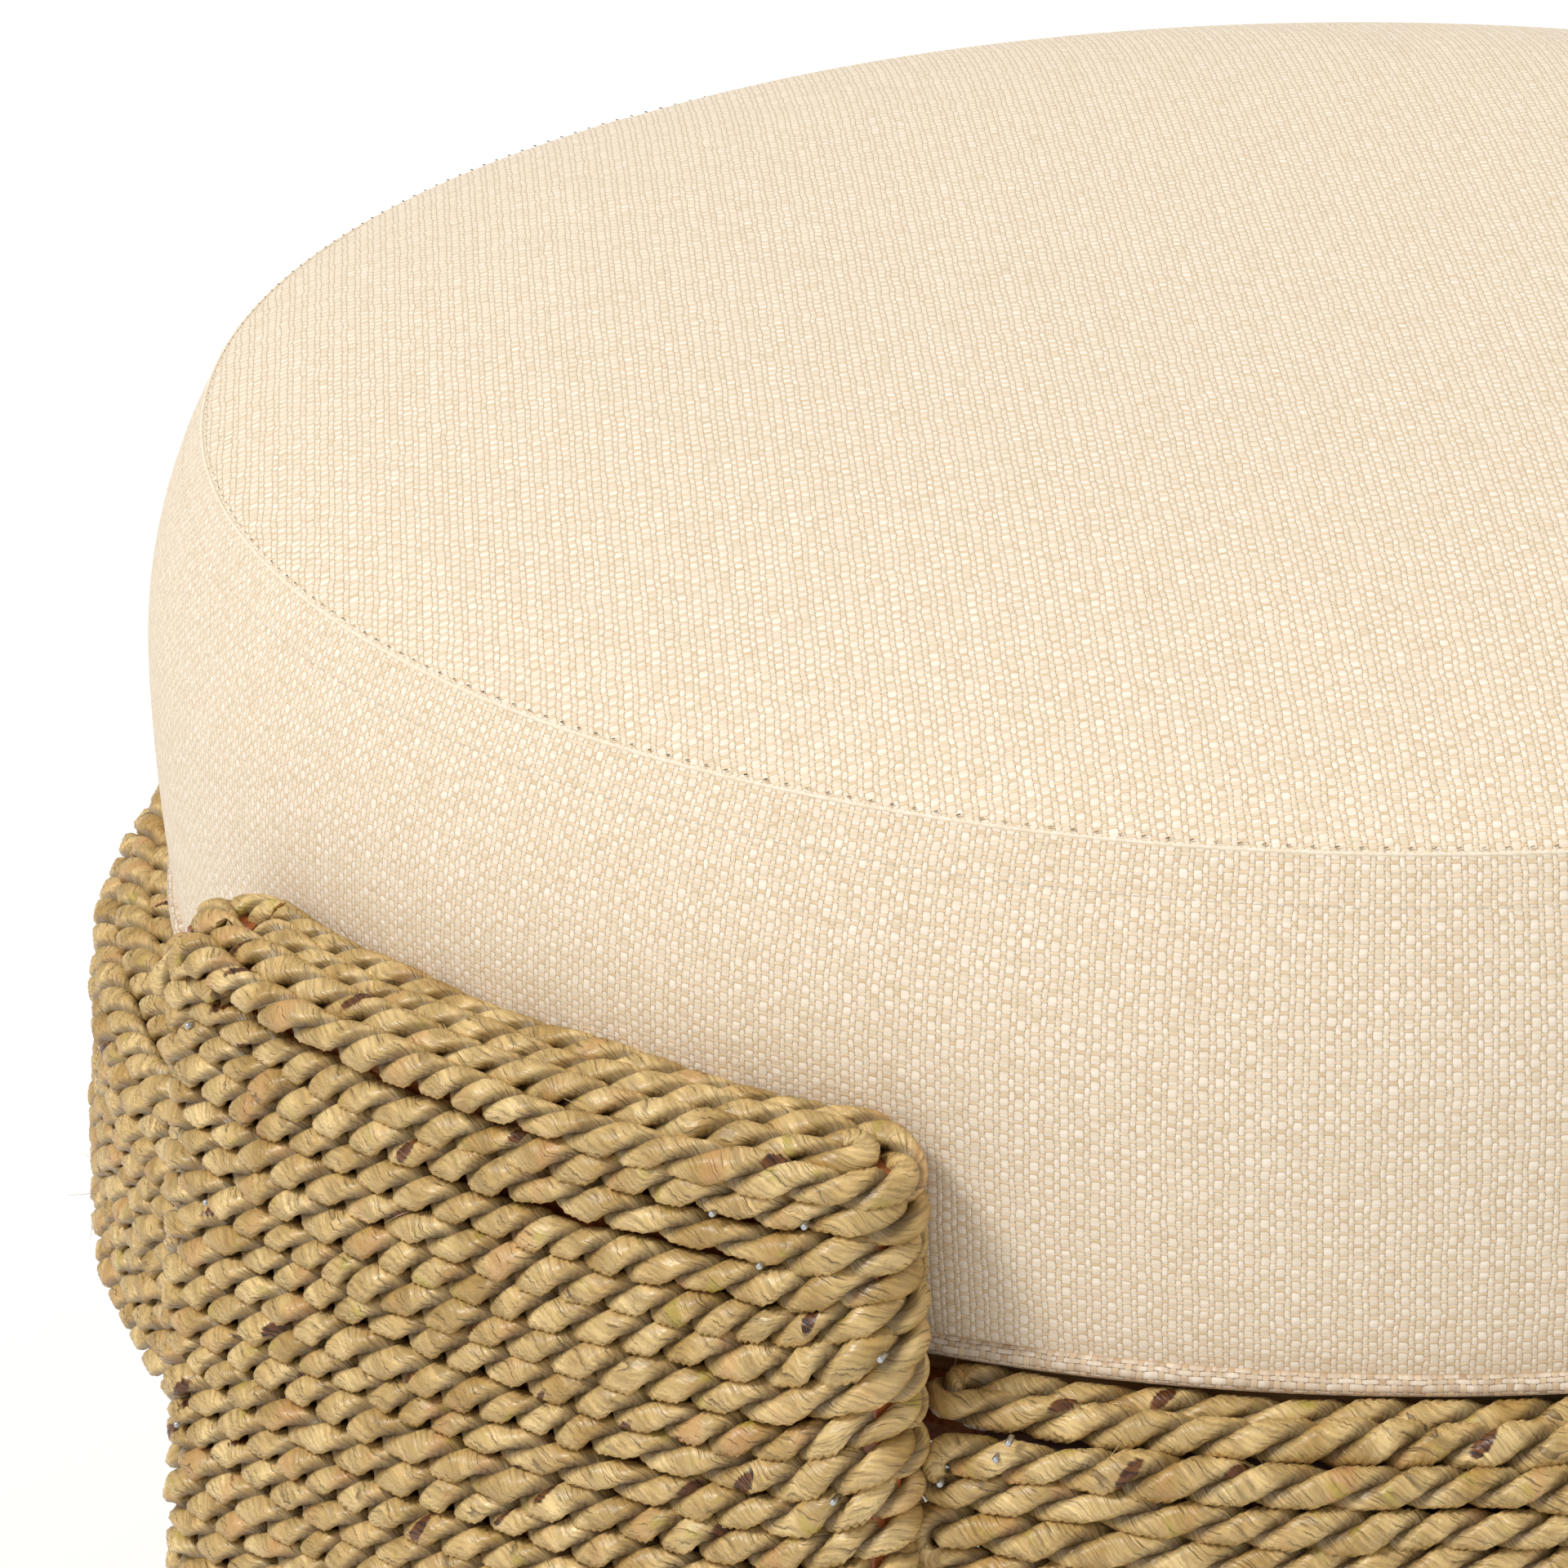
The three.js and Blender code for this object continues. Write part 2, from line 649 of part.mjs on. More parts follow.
function buildApronPanel(name, azimuth) {
  const backingRadius = apronCornerRadius - apronRopeDiameter / 2 - fitGap;
  const lastAngle = Math.acos((panelInnerRadius - cornerCentreRadius) / backingRadius);
  const rounded = Array.from({ length: cornerSteps + 1 }, (_, i) => {
    const angle = (lastAngle * i) / cornerSteps;
    const radius = cornerCentreRadius + backingRadius * Math.cos(angle);
    return [radius, cornerHeight + backingRadius * Math.sin(angle)];
  });
  const bottom = apronBottomRow - apronRopeDiameter / 2 + fitGap;
  const section = [[panelInnerRadius, bottom], [panelOuterRadius, bottom], ...rounded];
  const cutAt = (angle) => section.map(([radius, height]) => onCircle(radius, angle, height));
  const rings = spreadRings(bayAzimuths(azimuth).map(cutAt));
  place(frame, name, skin(rings), plywood);
}

bayNames.forEach((bay, i) => {
  const azimuth = legFirstAzimuth + ((i - 1 / 2) * 2 * Math.PI) / bayNames.length;
  buildApronPanel(`${bay}_panel`, azimuth);
  gaps.apron_rope = Math.min(gaps.apron_rope, buildApronRope(`${bay}_rope`, azimuth));
});

Object.entries(gaps).forEach(([winding, gap]) => {
  console.log(`least gap of ${winding} to itself: ${gap.toFixed(2)} mm`);
});

export default ottoman;
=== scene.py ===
# %% [markdown]
# # A round ottoman in seagrass rope and cream canvas
#
# The frame is a ring of rattan with four wide legs. Each leg is a flat slab of canes with rope wound round
# it, row upon row, and a last rope lies along its top. Between the legs the rope runs to and fro over a
# curved apron. A thick boxed cushion drops in between the legs. The photo is a close crop of one leg and the
# cushion, so what counts is the lay of the rope and the weave of the cloth.
#
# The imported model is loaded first. It is the fixed frame that every new piece fits.

# %% Load the frame
import math

import bpy
import numpy as np
from mathutils import Matrix, Vector


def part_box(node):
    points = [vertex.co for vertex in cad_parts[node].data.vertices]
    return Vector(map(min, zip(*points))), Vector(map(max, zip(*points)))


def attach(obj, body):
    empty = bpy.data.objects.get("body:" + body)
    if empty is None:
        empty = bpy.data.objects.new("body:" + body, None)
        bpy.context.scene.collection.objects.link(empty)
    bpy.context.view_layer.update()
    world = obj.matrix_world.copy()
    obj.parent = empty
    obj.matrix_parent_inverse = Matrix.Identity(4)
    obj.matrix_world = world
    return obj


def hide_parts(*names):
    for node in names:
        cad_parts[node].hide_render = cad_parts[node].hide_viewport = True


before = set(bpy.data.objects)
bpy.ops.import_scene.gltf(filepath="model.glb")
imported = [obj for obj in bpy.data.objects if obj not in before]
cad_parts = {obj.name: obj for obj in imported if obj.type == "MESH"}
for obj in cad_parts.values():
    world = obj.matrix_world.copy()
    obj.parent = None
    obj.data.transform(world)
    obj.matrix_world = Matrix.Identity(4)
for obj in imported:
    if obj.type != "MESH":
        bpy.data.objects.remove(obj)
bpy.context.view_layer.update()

MM = 0.001
weld_gap = 0.001 * MM
print("pieces in the frame:", len(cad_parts))

# %% [markdown]
# ## Places taken from the frame
#
# The deck, the top of the legs and the cushion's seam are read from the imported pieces, so that a change of
# size in the model moves the looks with it. Radii that the faceted solids only come near are named here. The
# frame leans out a little towards the floor, so its radii are those of the leg tops and grow with the drop.

# %% Places
seat_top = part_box("seat_deck")[1].z
leg_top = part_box("leg_front_left_top_roll")[1].z
leg_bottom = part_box("leg_front_left_winding")[0].z
cushion_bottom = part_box("cushion_bottom_panel")[0].z
seam_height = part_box("cushion_top_panel")[0].z
crown_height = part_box("cushion_top_panel")[1].z
apron_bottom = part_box("apron_front_rope")[0].z

widest_radius = 283.2 * MM
bottom_radius = 279.4 * MM
seam_radius = 268.4 * MM
widest_share = 0.53
slab_radius = 297.8 * MM
post_angle = math.radians(17.9)
lean = math.radians(2.9)
leg_azimuths = {
    "leg_front_right": math.radians(45),
    "leg_back_right": math.radians(135),
    "leg_back_left": math.radians(225),
    "leg_front_left": math.radians(315),
}
apron_azimuths = {
    "apron_front": 0,
    "apron_right": math.radians(90),
    "apron_back": math.radians(180),
    "apron_left": math.radians(270),
}


def spread(height):
    """How much wider the leaning frame is at a height than at the top of the legs."""
    return 1 + math.tan(lean) * (leg_top - height) / widest_radius


print("seat top", round(seat_top, 4), "leg top", round(leg_top, 4), "crown", round(crown_height, 4))
print("the frame is wider at the floor by", round(100 * (spread(0) - 1), 1), "%")

# %% [markdown]
# ## The camera
#
# The photo was taken with a long lens from above the seat, a little to the left of the front. The lens, the
# place and the tilt were worked out from the round seam, the welt and the upright edges of the leg. The
# picture is also turned a degree, so the camera rolls by that much.

# %% Camera
camera_place = Vector((-0.2266, -1.5686, 1.0004))
camera_heading = math.radians(-3.24)
camera_drop = math.radians(23.1)
camera_roll = math.radians(-1.0)

camera_data = bpy.data.cameras.new("camera")
camera_data.lens = 168.75
camera_data.sensor_width = 36
camera = bpy.data.objects.new("camera", camera_data)
bpy.context.scene.collection.objects.link(camera)
turn = (
    Matrix.Rotation(camera_heading, 4, "Z")
    @ Matrix.Rotation(math.pi / 2 - camera_drop, 4, "X")
    @ Matrix.Rotation(camera_roll, 4, "Z")
)
camera.matrix_world = Matrix.Translation(camera_place) @ turn
bpy.context.scene.camera = camera

# %% [markdown]
# ## Small helpers
#
# Colours are written as they look on a screen and turned to linear values by one function. Another adds a
# shader node with its settings and links. A third makes the plain materials: two tones, mixed by a noise that
# can be stretched into a grain. The others add or select one object, say what a finished piece is, weld and
# read a mesh, and give places on a ring and smooth random lines.

# %% Helpers
def linear(code):
    channels = [int(code[i:i + 2], 16) / 255 for i in (1, 3, 5)]
    return tuple(c / 12.92 if c <= 0.04045 else ((c + 0.055) / 1.055) ** 2.4 for c in channels) + (1.0,)


def add_node(tree, kind, sockets=None, **settings):
    """Add a shader node with its settings and links, and give back its first output in use."""
    made = tree.nodes.new("ShaderNode" + kind)
    for name, value in settings.items():
        setattr(made, name, value)
    for socket, value in (sockets or {}).items():
        if isinstance(value, bpy.types.NodeSocket):
            tree.links.new(value, made.inputs[socket])
        else:
            made.inputs[socket].default_value = value
    return next(output for output in made.outputs if output.enabled)


def new_material(name, **shader_values):
    material = bpy.data.materials.new(name)
    material.use_nodes = True
    shader = material.node_tree.nodes["Principled BSDF"]
    for socket, value in shader_values.items():
        shader.inputs[socket.replace("_", " ")].default_value = value
    return material, material.node_tree, shader


def make_grained(name, dark, light, scale, detail=2.0, limits=(0.0, 1.0), bump=(0.0, 0.0), **shader_values):
    """A material of two tones mixed by a noise, which is denser along an axis the higher its scale is."""
    material, tree, shader = new_material(name, **shader_values)
    place = add_node(tree, "TexCoord").node.outputs["Object"]
    stretched = add_node(tree, "Mapping", {0: place, "Scale": scale})
    grain = add_node(tree, "TexNoise", {"Vector": stretched, "Scale": 1.0, "Detail": detail})
    even = add_node(tree, "MapRange", {0: grain, 1: limits[0], 2: limits[1]})
    colour = add_node(tree, "Mix", {0: even, 6: linear(dark), 7: linear(light)}, data_type="RGBA")
    raised = add_node(tree, "Bump", {"Strength": bump[0], "Distance": bump[1], "Height": grain})
    tree.links.new(colour, shader.inputs["Base Color"])
    tree.links.new(raised, shader.inputs["Normal"])
    return material


def add_object(name, data):
    made = bpy.data.objects.new(name, data)
    bpy.context.scene.collection.objects.link(made)
    return made


def only(piece):
    bpy.ops.object.select_all(action="DESELECT")
    piece.select_set(True)
    bpy.context.view_layer.objects.active = piece


def dress(piece, body, material=None):
    if material:
        piece.data.materials.clear()
        piece.data.materials.append(material)
    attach(piece, body)
    return piece


def weld(gap):
    """Join the points of the mesh that is edited where they lie within a gap, and turn its faces outwards."""
    bpy.ops.mesh.select_all(action="SELECT")
    bpy.ops.mesh.remove_doubles(threshold=gap)
    bpy.ops.mesh.normals_make_consistent(inside=False)
    bpy.ops.object.mode_set(mode="OBJECT")


def points_of(piece):
    points = np.zeros(len(piece.data.vertices) * 3)
    piece.data.vertices.foreach_get("co", points)
    return points.reshape(-1, 3)


def corners_of(mesh):
    """For each corner of a mesh, the number of its point and the number of its face."""
    corners = np.zeros(len(mesh.loops), np.int32)
    mesh.loops.foreach_get("vertex_index", corners)
    totals = np.zeros(len(mesh.polygons), np.int32)
    mesh.polygons.foreach_get("loop_total", totals)
    return corners, np.repeat(np.arange(len(totals)), totals)


def set_map(mesh, u, v):
    layer = mesh.uv_layers[0] if mesh.uv_layers else mesh.uv_layers.new(name="UVMap")
    layer.data.foreach_set("uv", np.stack([u, v], -1).ravel())


def on_ring(radius, azimuth, height):
    """A point on a ring round the middle. Azimuth 0 is the front, and it grows to the right."""
    return np.stack(np.broadcast_arrays(radius * np.sin(azimuth), -radius * np.cos(azimuth), height), -1)


def wander(places, spacing, seed):
    """A smooth random line between -1 and 1, with a new value at every spacing along the places."""
    values = np.random.default_rng(seed).uniform(-1, 1, int(places[-1] / spacing) + 5)
    place = places / spacing
    left = place.astype(int)
    t = place - left
    a, b, c, d = (values[left + k] for k in range(4))
    return b + t / 2 * (c - a + t * (2 * a - 5 * b + 4 * c - d + t * (3 * (b - c) + d - a)))


def smooth_step(share):
    share = np.clip(share, 0, 1)
    return share * share * (3 - 2 * share)


# %% [markdown]
# ## How a laid rope is made
#
# Seagrass rope is two strands twisted round each other. A curve with a round bevel would be a plain cord,
# and two thin tubes would have to be kept side by side. Here the rope is one curve whose bevel is a cut
# through both strands: two ovals that meet at a waist. The tilt of the curve's points turns that cut once in
# every lay, which winds the strands, and a little noise in the tilt and the thickness keeps the twist
# uneven, as it is by hand. A curve is made a mesh with the convert operator, and its UV map runs in metres
# along the rope.

# %% Section through the two strands
strand_offset_share = 0.235
strand_depth_share = 0.265
strand_width_share = 0.39
strand_reach = math.radians(148)
points_per_strand = 8


def strand_section():
    data = bpy.data.curves.new("rope_section", "CURVE")
    data.dimensions = "2D"
    angles = np.linspace(strand_reach, -strand_reach, points_per_strand)
    depths = strand_offset_share + strand_depth_share * np.cos(angles)
    widths = strand_width_share * np.sin(angles)
    points = [(side * x, side * y) for side in (1, -1) for x, y in zip(depths, widths)]
    spline = data.splines.new("POLY")
    spline.points.add(len(points) - 1)
    for point, (x, y) in zip(spline.points, points):
        point.co = (x, y, 0, 1)
    spline.use_cyclic_u = True
    return add_object("rope_section", data)


rope_section = strand_section()
section_points = 2 * points_per_strand
print("points round a rope:", section_points)


# %% Lay a rope along a route
def lengths_along(points):
    return np.r_[0, np.cumsum(np.linalg.norm(np.diff(points, axis=0), axis=1))]


def even_route(points, step):
    """The route again, with points at even steps along it."""
    lengths = lengths_along(points)
    places = np.linspace(0, lengths[-1], max(2, round(lengths[-1] / step)))
    return np.stack([np.interp(places, lengths, points[:, k]) for k in range(3)], -1)


def map_along(mesh, places, offset):
    """A UV map: metres along the rope, and the share of the way round its section."""
    corners, face = corners_of(mesh)
    ring = np.minimum(corners // section_points, len(places) - 1)
    around = (corners % section_points).astype(float)
    highest = np.zeros(len(mesh.polygons))
    np.maximum.at(highest, face, around)
    wraps = (highest[face] == section_points - 1) & (around == 0)
    around[wraps] = section_points
    set_map(mesh, places[ring] + offset, around / section_points)


tilt_noise = 1.3
lobe_tilt_noise = 0.4
lobe_noise = 0.16
strand_noise = 0.07


def lay_rope(name, points, diameter, lay, seed):
    places = lengths_along(points)
    data = bpy.data.curves.new(name, "CURVE")
    data.dimensions = "3D"
    data.twist_mode = "MINIMUM"
    data.bevel_mode = "OBJECT"
    data.bevel_object = rope_section
    data.use_fill_caps = True
    spline = data.splines.new("POLY")
    spline.points.add(len(points) - 1)
    twist = -2 * math.pi * places / lay + tilt_noise * wander(places, 2 * lay, seed)
    twist = twist + lobe_tilt_noise * wander(places, 0.6 * lay, seed + 3)
    thickness = diameter * (
        1 + lobe_noise * wander(places, lay / 2, seed + 1) + strand_noise * wander(places, 5 * lay, seed + 2)
    )
    spline.points.foreach_set("co", np.c_[points, np.ones(len(points))].ravel())
    spline.points.foreach_set("radius", thickness)
    spline.points.foreach_set("tilt", twist)
    rope = add_object(name, data)
    only(rope)
    bpy.ops.object.convert(target="MESH")
    map_along(rope.data, places, offset=seed)
    bpy.ops.object.mode_set(mode="EDIT")
    weld(weld_gap)
    bpy.ops.object.shade_smooth_by_angle(angle=math.radians(62))
    return rope


# %% [markdown]
# ## Seagrass
#
# Seagrass is a dried reed, twisted while damp. It is a straw colour that runs from grey-green to warm tan,
# with fine fibres that slant across each strand, split blades whose edges show as dark lines, and now and
# then a brown knot or a reddish length. It has a soft waxy shine. All of it is drawn on the rope's own UV
# map, so that the fibres turn with the strands.

# %% Seagrass material
fibre_slant = -50.0
fibre_relief = 0.4 * MM


def make_seagrass():
    material, tree, shader = new_material("seagrass_rope", Roughness=0.4)
    along = add_node(tree, "SeparateXYZ", {0: add_node(tree, "UVMap")})
    around = along.node.outputs["Y"]
    strand = add_node(tree, "Math", {0: around, 1: 0.4688}, operation="GREATER_THAN")
    line = add_node(tree, "Math", {0: strand, 1: 37.0, 2: along}, operation="MULTIPLY_ADD")

    # Noises along each strand: the drift of its fibres, the tone of its lobes, and its reddish lengths
    drift, tone, blush = (
        add_node(tree, "TexNoise", {"W": line, "Scale": scale, "Detail": detail}, noise_dimensions="1D")
        for scale, detail in ((45.0, 1.0), (60.0, 2.0), (75.0, 1.0))
    )

    # Fibres slant across the strand, nearly along the rope, and the slant drifts a little along it.
    slant = add_node(tree, "Math", {0: along, 1: fibre_slant, 2: around}, operation="MULTIPLY_ADD")
    slant = add_node(tree, "Math", {0: drift, 1: 0.35, 2: slant}, operation="MULTIPLY_ADD")
    fibre_place = add_node(tree, "CombineXYZ", {"X": line, "Y": slant})
    noises = []
    for scale, detail in (
        ((190, 34, 1), 3.0), ((70, 6.5, 1), 1.0), ((150, 3, 1), 1.0), ((120, 4, 1), 0.0), ((170, 52, 1), 1.0),
    ):
        scaled = add_node(tree, "Mapping", {0: fibre_place, "Scale": scale})
        noises.append(add_node(tree, "TexNoise", {"Vector": scaled, "Scale": 1.0, "Detail": detail}))
    fibres, blades, edge_shows, green, nicks = noises

    # Blades lie over each other like shingles: each rises to its edge and drops to the next.
    shingle_line = add_node(tree, "Math", {0: blades, 1: 1.6}, operation="MULTIPLY")
    shingle_count = add_node(tree, "Math", {0: slant, 1: 5.0, 2: shingle_line}, operation="MULTIPLY_ADD")
    shingle = add_node(tree, "Math", {0: shingle_count}, operation="FRACT")
    shingle_edge = add_node(tree, "MapRange", {0: shingle, 1: 0.0, 2: 0.09, 3: 1.0, 4: 0.0})
    edge_even = add_node(tree, "MapRange", {0: edge_shows, 1: 0.42, 2: 0.6})
    blade_edge = add_node(tree, "Math", {0: shingle_edge, 1: edge_even}, operation="MULTIPLY")

    # How much of each tint shows: blades, the lines of fibres, reddish and yellow-green lengths, dark splits
    # and blades' edges, and painted shade in the crease between the strands
    tone_even = add_node(tree, "MapRange", {0: tone, 1: 0.3, 2: 0.7})
    blade_even = add_node(tree, "MapRange", {0: blades, 1: 0.35, 2: 0.7, 4: 0.6})
    lined = add_node(tree, "MapRange", {0: fibres, 1: 0.35, 2: 0.6, 3: 0.5, 4: 0.0})
    blush_even = add_node(tree, "MapRange", {0: blush, 1: 0.62, 2: 0.76, 4: 0.5})
    green_even = add_node(tree, "MapRange", {0: green, 1: 0.72, 2: 0.79, 4: 0.6})
    nick_even = add_node(tree, "MapRange", {0: nicks, 1: 0.65, 2: 0.72, 4: 0.75})
    splits = add_node(tree, "Math", {0: nick_even, 1: blade_edge}, operation="MAXIMUM")
    dark_share = add_node(tree, "Math", {0: splits, 1: 0.85}, operation="MULTIPLY")
    # Painted shade: the colour darkens towards the crease between the two strands
    twice = add_node(tree, "Math", {0: around, 1: 2.0}, operation="MULTIPLY")
    share = add_node(tree, "Math", {0: twice}, operation="FRACT")
    middle = add_node(tree, "Math", {0: share, 1: 0.4375}, operation="SUBTRACT")
    aside = add_node(tree, "Math", {0: middle}, operation="ABSOLUTE")
    painted_crease_shade = add_node(tree, "MapRange", {0: aside, 1: 0.23, 2: 0.44, 4: 0.8})
    straw = {0: tone_even, 6: linear("#c59e5b"), 7: linear("#ffdf9e")}
    colour = add_node(tree, "Mix", straw, data_type="RGBA")
    for shows, tint in (
        (blade_even, "#a98d54"), (lined, "#7a5c2e"), (blush_even, "#cf9a63"), (green_even, "#b3a13c"),
        (dark_share, "#503a1d"), (painted_crease_shade, "#402a12"),
    ):
        colour = add_node(tree, "Mix", {0: shows, 6: colour, 7: linear(tint)}, data_type="RGBA")

    # Brown knots of the reed, a few millimetres across
    knot_place = add_node(tree, "CombineXYZ", {"X": line, "Y": around})
    knot_scale = add_node(tree, "Mapping", {0: knot_place, "Scale": (95, 3.6, 1)})
    knots = add_node(tree, "TexVoronoi", {"Vector": knot_scale, "Scale": 1.0}, voronoi_dimensions="2D")
    chance = add_node(tree, "SeparateColor", {0: knots.node.outputs["Color"]})
    chosen = add_node(tree, "Math", {0: chance, 1: 0.955}, operation="GREATER_THAN")
    ragged = add_node(tree, "Math", {0: fibres, 1: 0.22, 2: knots}, operation="MULTIPLY_ADD")
    near = add_node(tree, "MapRange", {0: ragged, 1: 0.40, 2: 0.33})
    knot_even = add_node(tree, "Math", {0: near, 1: chosen}, operation="MULTIPLY")
    speckle = add_node(tree, "MapRange", {0: fibres, 1: 0.4, 2: 0.6})
    brown = add_node(tree, "Mix", {0: speckle, 6: linear("#3a1f0c"), 7: linear("#7a4a24")}, data_type="RGBA")
    colour = add_node(tree, "Mix", {0: knot_even, 6: colour, 7: brown}, data_type="RGBA")

    raised = add_node(tree, "Math", {0: shingle, 1: 1.3, 2: fibres}, operation="MULTIPLY_ADD")
    height = add_node(tree, "Math", {0: nick_even, 1: -0.6, 2: raised}, operation="MULTIPLY_ADD")
    bump = add_node(tree, "Bump", {"Strength": 0.85, "Distance": fibre_relief, "Height": height})
    rough = add_node(tree, "MapRange", {0: fibres, 1: 0.35, 2: 0.7, 3: 0.42, 4: 0.22})
    tree.links.new(rough, shader.inputs["Roughness"])
    tree.links.new(colour, shader.inputs["Base Color"])
    tree.links.new(bump, shader.inputs["Normal"])
    return material


seagrass = make_seagrass()

# %% [markdown]
# ## The wound legs
#
# A leg is wound from the floor up. Seen from above, one turn is a long loop round the slab: a stretch along
# the face, a round end, the inner side and the other end. The rope climbs by its own thickness in every
# turn, and it does much of that climbing round the right end. The rows wander a little, most of all near the
# top, where the photo shows the canes through the gaps. Points lie close together where the rope is seen and
# further apart on the inner side, which the cushion hides. The last turn goes on a little, to cover the left
# post's top.

# %% One turn round a slab
fine_step = 1.4 * MM
coarse_step = 3.2 * MM


def round_end(reach, hand, start, finish, roundness):
    """Round the right end (hand 1) or the left end (hand -1) of a slab, from one offset to another."""
    bend = np.linspace(0, math.pi, round(math.pi * roundness * 0.85 / fine_step))
    middle, half = (start + finish) / 2, (start - finish) / 2
    return hand * (reach - roundness + roundness * np.sin(bend)), middle + half * np.cos(bend)


def slab_loop(offset, roundness, reach):
    """Lengths along a slab and offsets to its outside, from the middle of its inner side by the left end."""
    straight = reach - roundness
    face = np.arange(-straight + fine_step, straight, fine_step)
    behind = np.arange(0, straight, coarse_step)
    left = round_end(reach, -1, -offset, offset, roundness)
    right = round_end(reach, 1, offset, -offset, roundness)
    inside, outside = np.full(len(behind), -offset), np.full(len(face), offset)
    along = np.r_[-behind, left[0], face, right[0], behind[:0:-1]]
    return along, np.r_[inside, left[1], outside, right[1], inside[1:]]


# %% Leg winding
rope_diameter = 9.6 * MM
rope_lay = 23.2 * MM
winding_rows = 41
last_part_turn = 0.33
top_row_drop = 11.5 * MM
winding_offset = 9.5 * MM
end_roundness = 16 * MM
end_reach = slab_radius * post_angle + winding_offset
right_share = 0.968
corner_drop = 4.5 * MM
corner_length = 18 * MM
right_climb, right_climb_length = 6 * MM, 24 * MM
left_climb, left_climb_length = 2 * MM, 20 * MM
loose_top = 40 * MM
row_wander, top_row_wander, row_wander_length = 0.8 * MM, 0.8 * MM, 38 * MM
row_depth, row_depth_length = 0.5 * MM, 25 * MM

lowest_row = leg_bottom + rope_diameter / 2
row_pitch = (leg_top - top_row_drop - lowest_row) / winding_rows


def corner_sink(along, reach):
    """How far down the rounded corner of a slab lies, as a share, at a length along it."""
    return np.clip((np.abs(along) - reach + corner_length) / corner_length, 0, 1) ** 2


def right_drawn_in(along):
    """The rope is pulled tighter round the right end of a slab, which ends a little nearer the middle."""
    return np.where(along > 0, along * right_share, along)


def end_climb(along):
    """How much higher a row runs round the ends of a slab than on its face."""
    right = smooth_step((along - end_reach + right_climb_length) / right_climb_length)
    left = smooth_step((-along - end_reach + left_climb_length) / left_climb_length)
    return right_climb * right + left_climb * left


def leg_winding(name, azimuth, first_row, last_row, seed):
    along, out = slab_loop(winding_offset, end_roundness, end_reach)
    steps = np.hypot(np.diff(along, append=along[0]), np.diff(out, append=out[0]))
    way = np.cumsum(steps) - steps
    loop = steps.sum()
    row = (np.arange(first_row, last_row + 1)[:, None] + way[None] / loop).ravel()
    end = last_row + (last_part_turn if last_row == winding_rows else 0)
    kept = row < end
    row = row[kept]
    travelled = (row - first_row) * loop
    s = np.tile(along, last_row + 1 - first_row)[kept]
    o = np.tile(out, last_row + 1 - first_row)[kept]
    height = lowest_row + row_pitch * np.minimum(row, winding_rows)
    below_top = (winding_rows - row) * row_pitch
    near_top = np.clip(1 - below_top / loose_top, 0, 1)
    height = height + end_climb(s) * (1 - 0.6 * near_top) * np.clip(row / 1.5, 0, 1)
    height = height + (row_wander + top_row_wander * near_top) * wander(travelled, row_wander_length, seed)
    height = height - corner_drop * corner_sink(s, end_reach) * near_top
    o = o + row_depth * wander(travelled, row_depth_length, seed + 5)
    points = on_ring((slab_radius + o) * spread(height), azimuth + right_drawn_in(s) / slab_radius, height)
    return lay_rope(name, points, rope_diameter, rope_lay, seed)


middle_row = winding_rows // 2
woven = []
for number, (leg, azimuth) in enumerate(leg_azimuths.items()):
    for part, (first, last) in {"lower": (0, middle_row), "upper": (middle_row, winding_rows)}.items():
        rope = leg_winding(f"{leg}_rope_{part}", azimuth, first, last, seed=10 * number + (part == "upper"))
        dress(rope, "frame", seagrass)
        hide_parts(f"{leg}_winding")
        woven.append(rope)
print("row pitch on a leg:", round(row_pitch / MM, 2), "mm, faces:", sum(len(r.data.polygons) for r in woven))

# %% [markdown]
# ## The rope along the top of a leg
#
# On the top of each slab the rope lies twice round, one loop inside the other, so that four rows show side by
# side. The front row hangs a little over the edge. Both ends are tucked down at the left end of the slab, and
# all the rows sink with its rounded corners.

# %% Top roll
roll_diameter = 8.9 * MM
roll_lay = 23 * MM
front_offset, back_offset = 10.7 * MM, -10.5 * MM
inner_front, inner_back = 3.6 * MM, -3.7 * MM
roll_drawn_in, inner_drawn_in, left_drawn_in = 0.6 * MM, 9 * MM, 2 * MM
roll_reach = end_reach - roll_drawn_in
inner_reach = roll_reach - inner_drawn_in
first_end, last_end = 3 * MM, 12 * MM
inner_roundness = 5 * MM
front_overhang = 2.6 * MM
tuck_depth, tuck_length = 9 * MM, 14 * MM
roll_wander, roll_wander_length = 0.8 * MM, 45 * MM
roll_depth, roll_depth_length = 0.6 * MM, 35 * MM


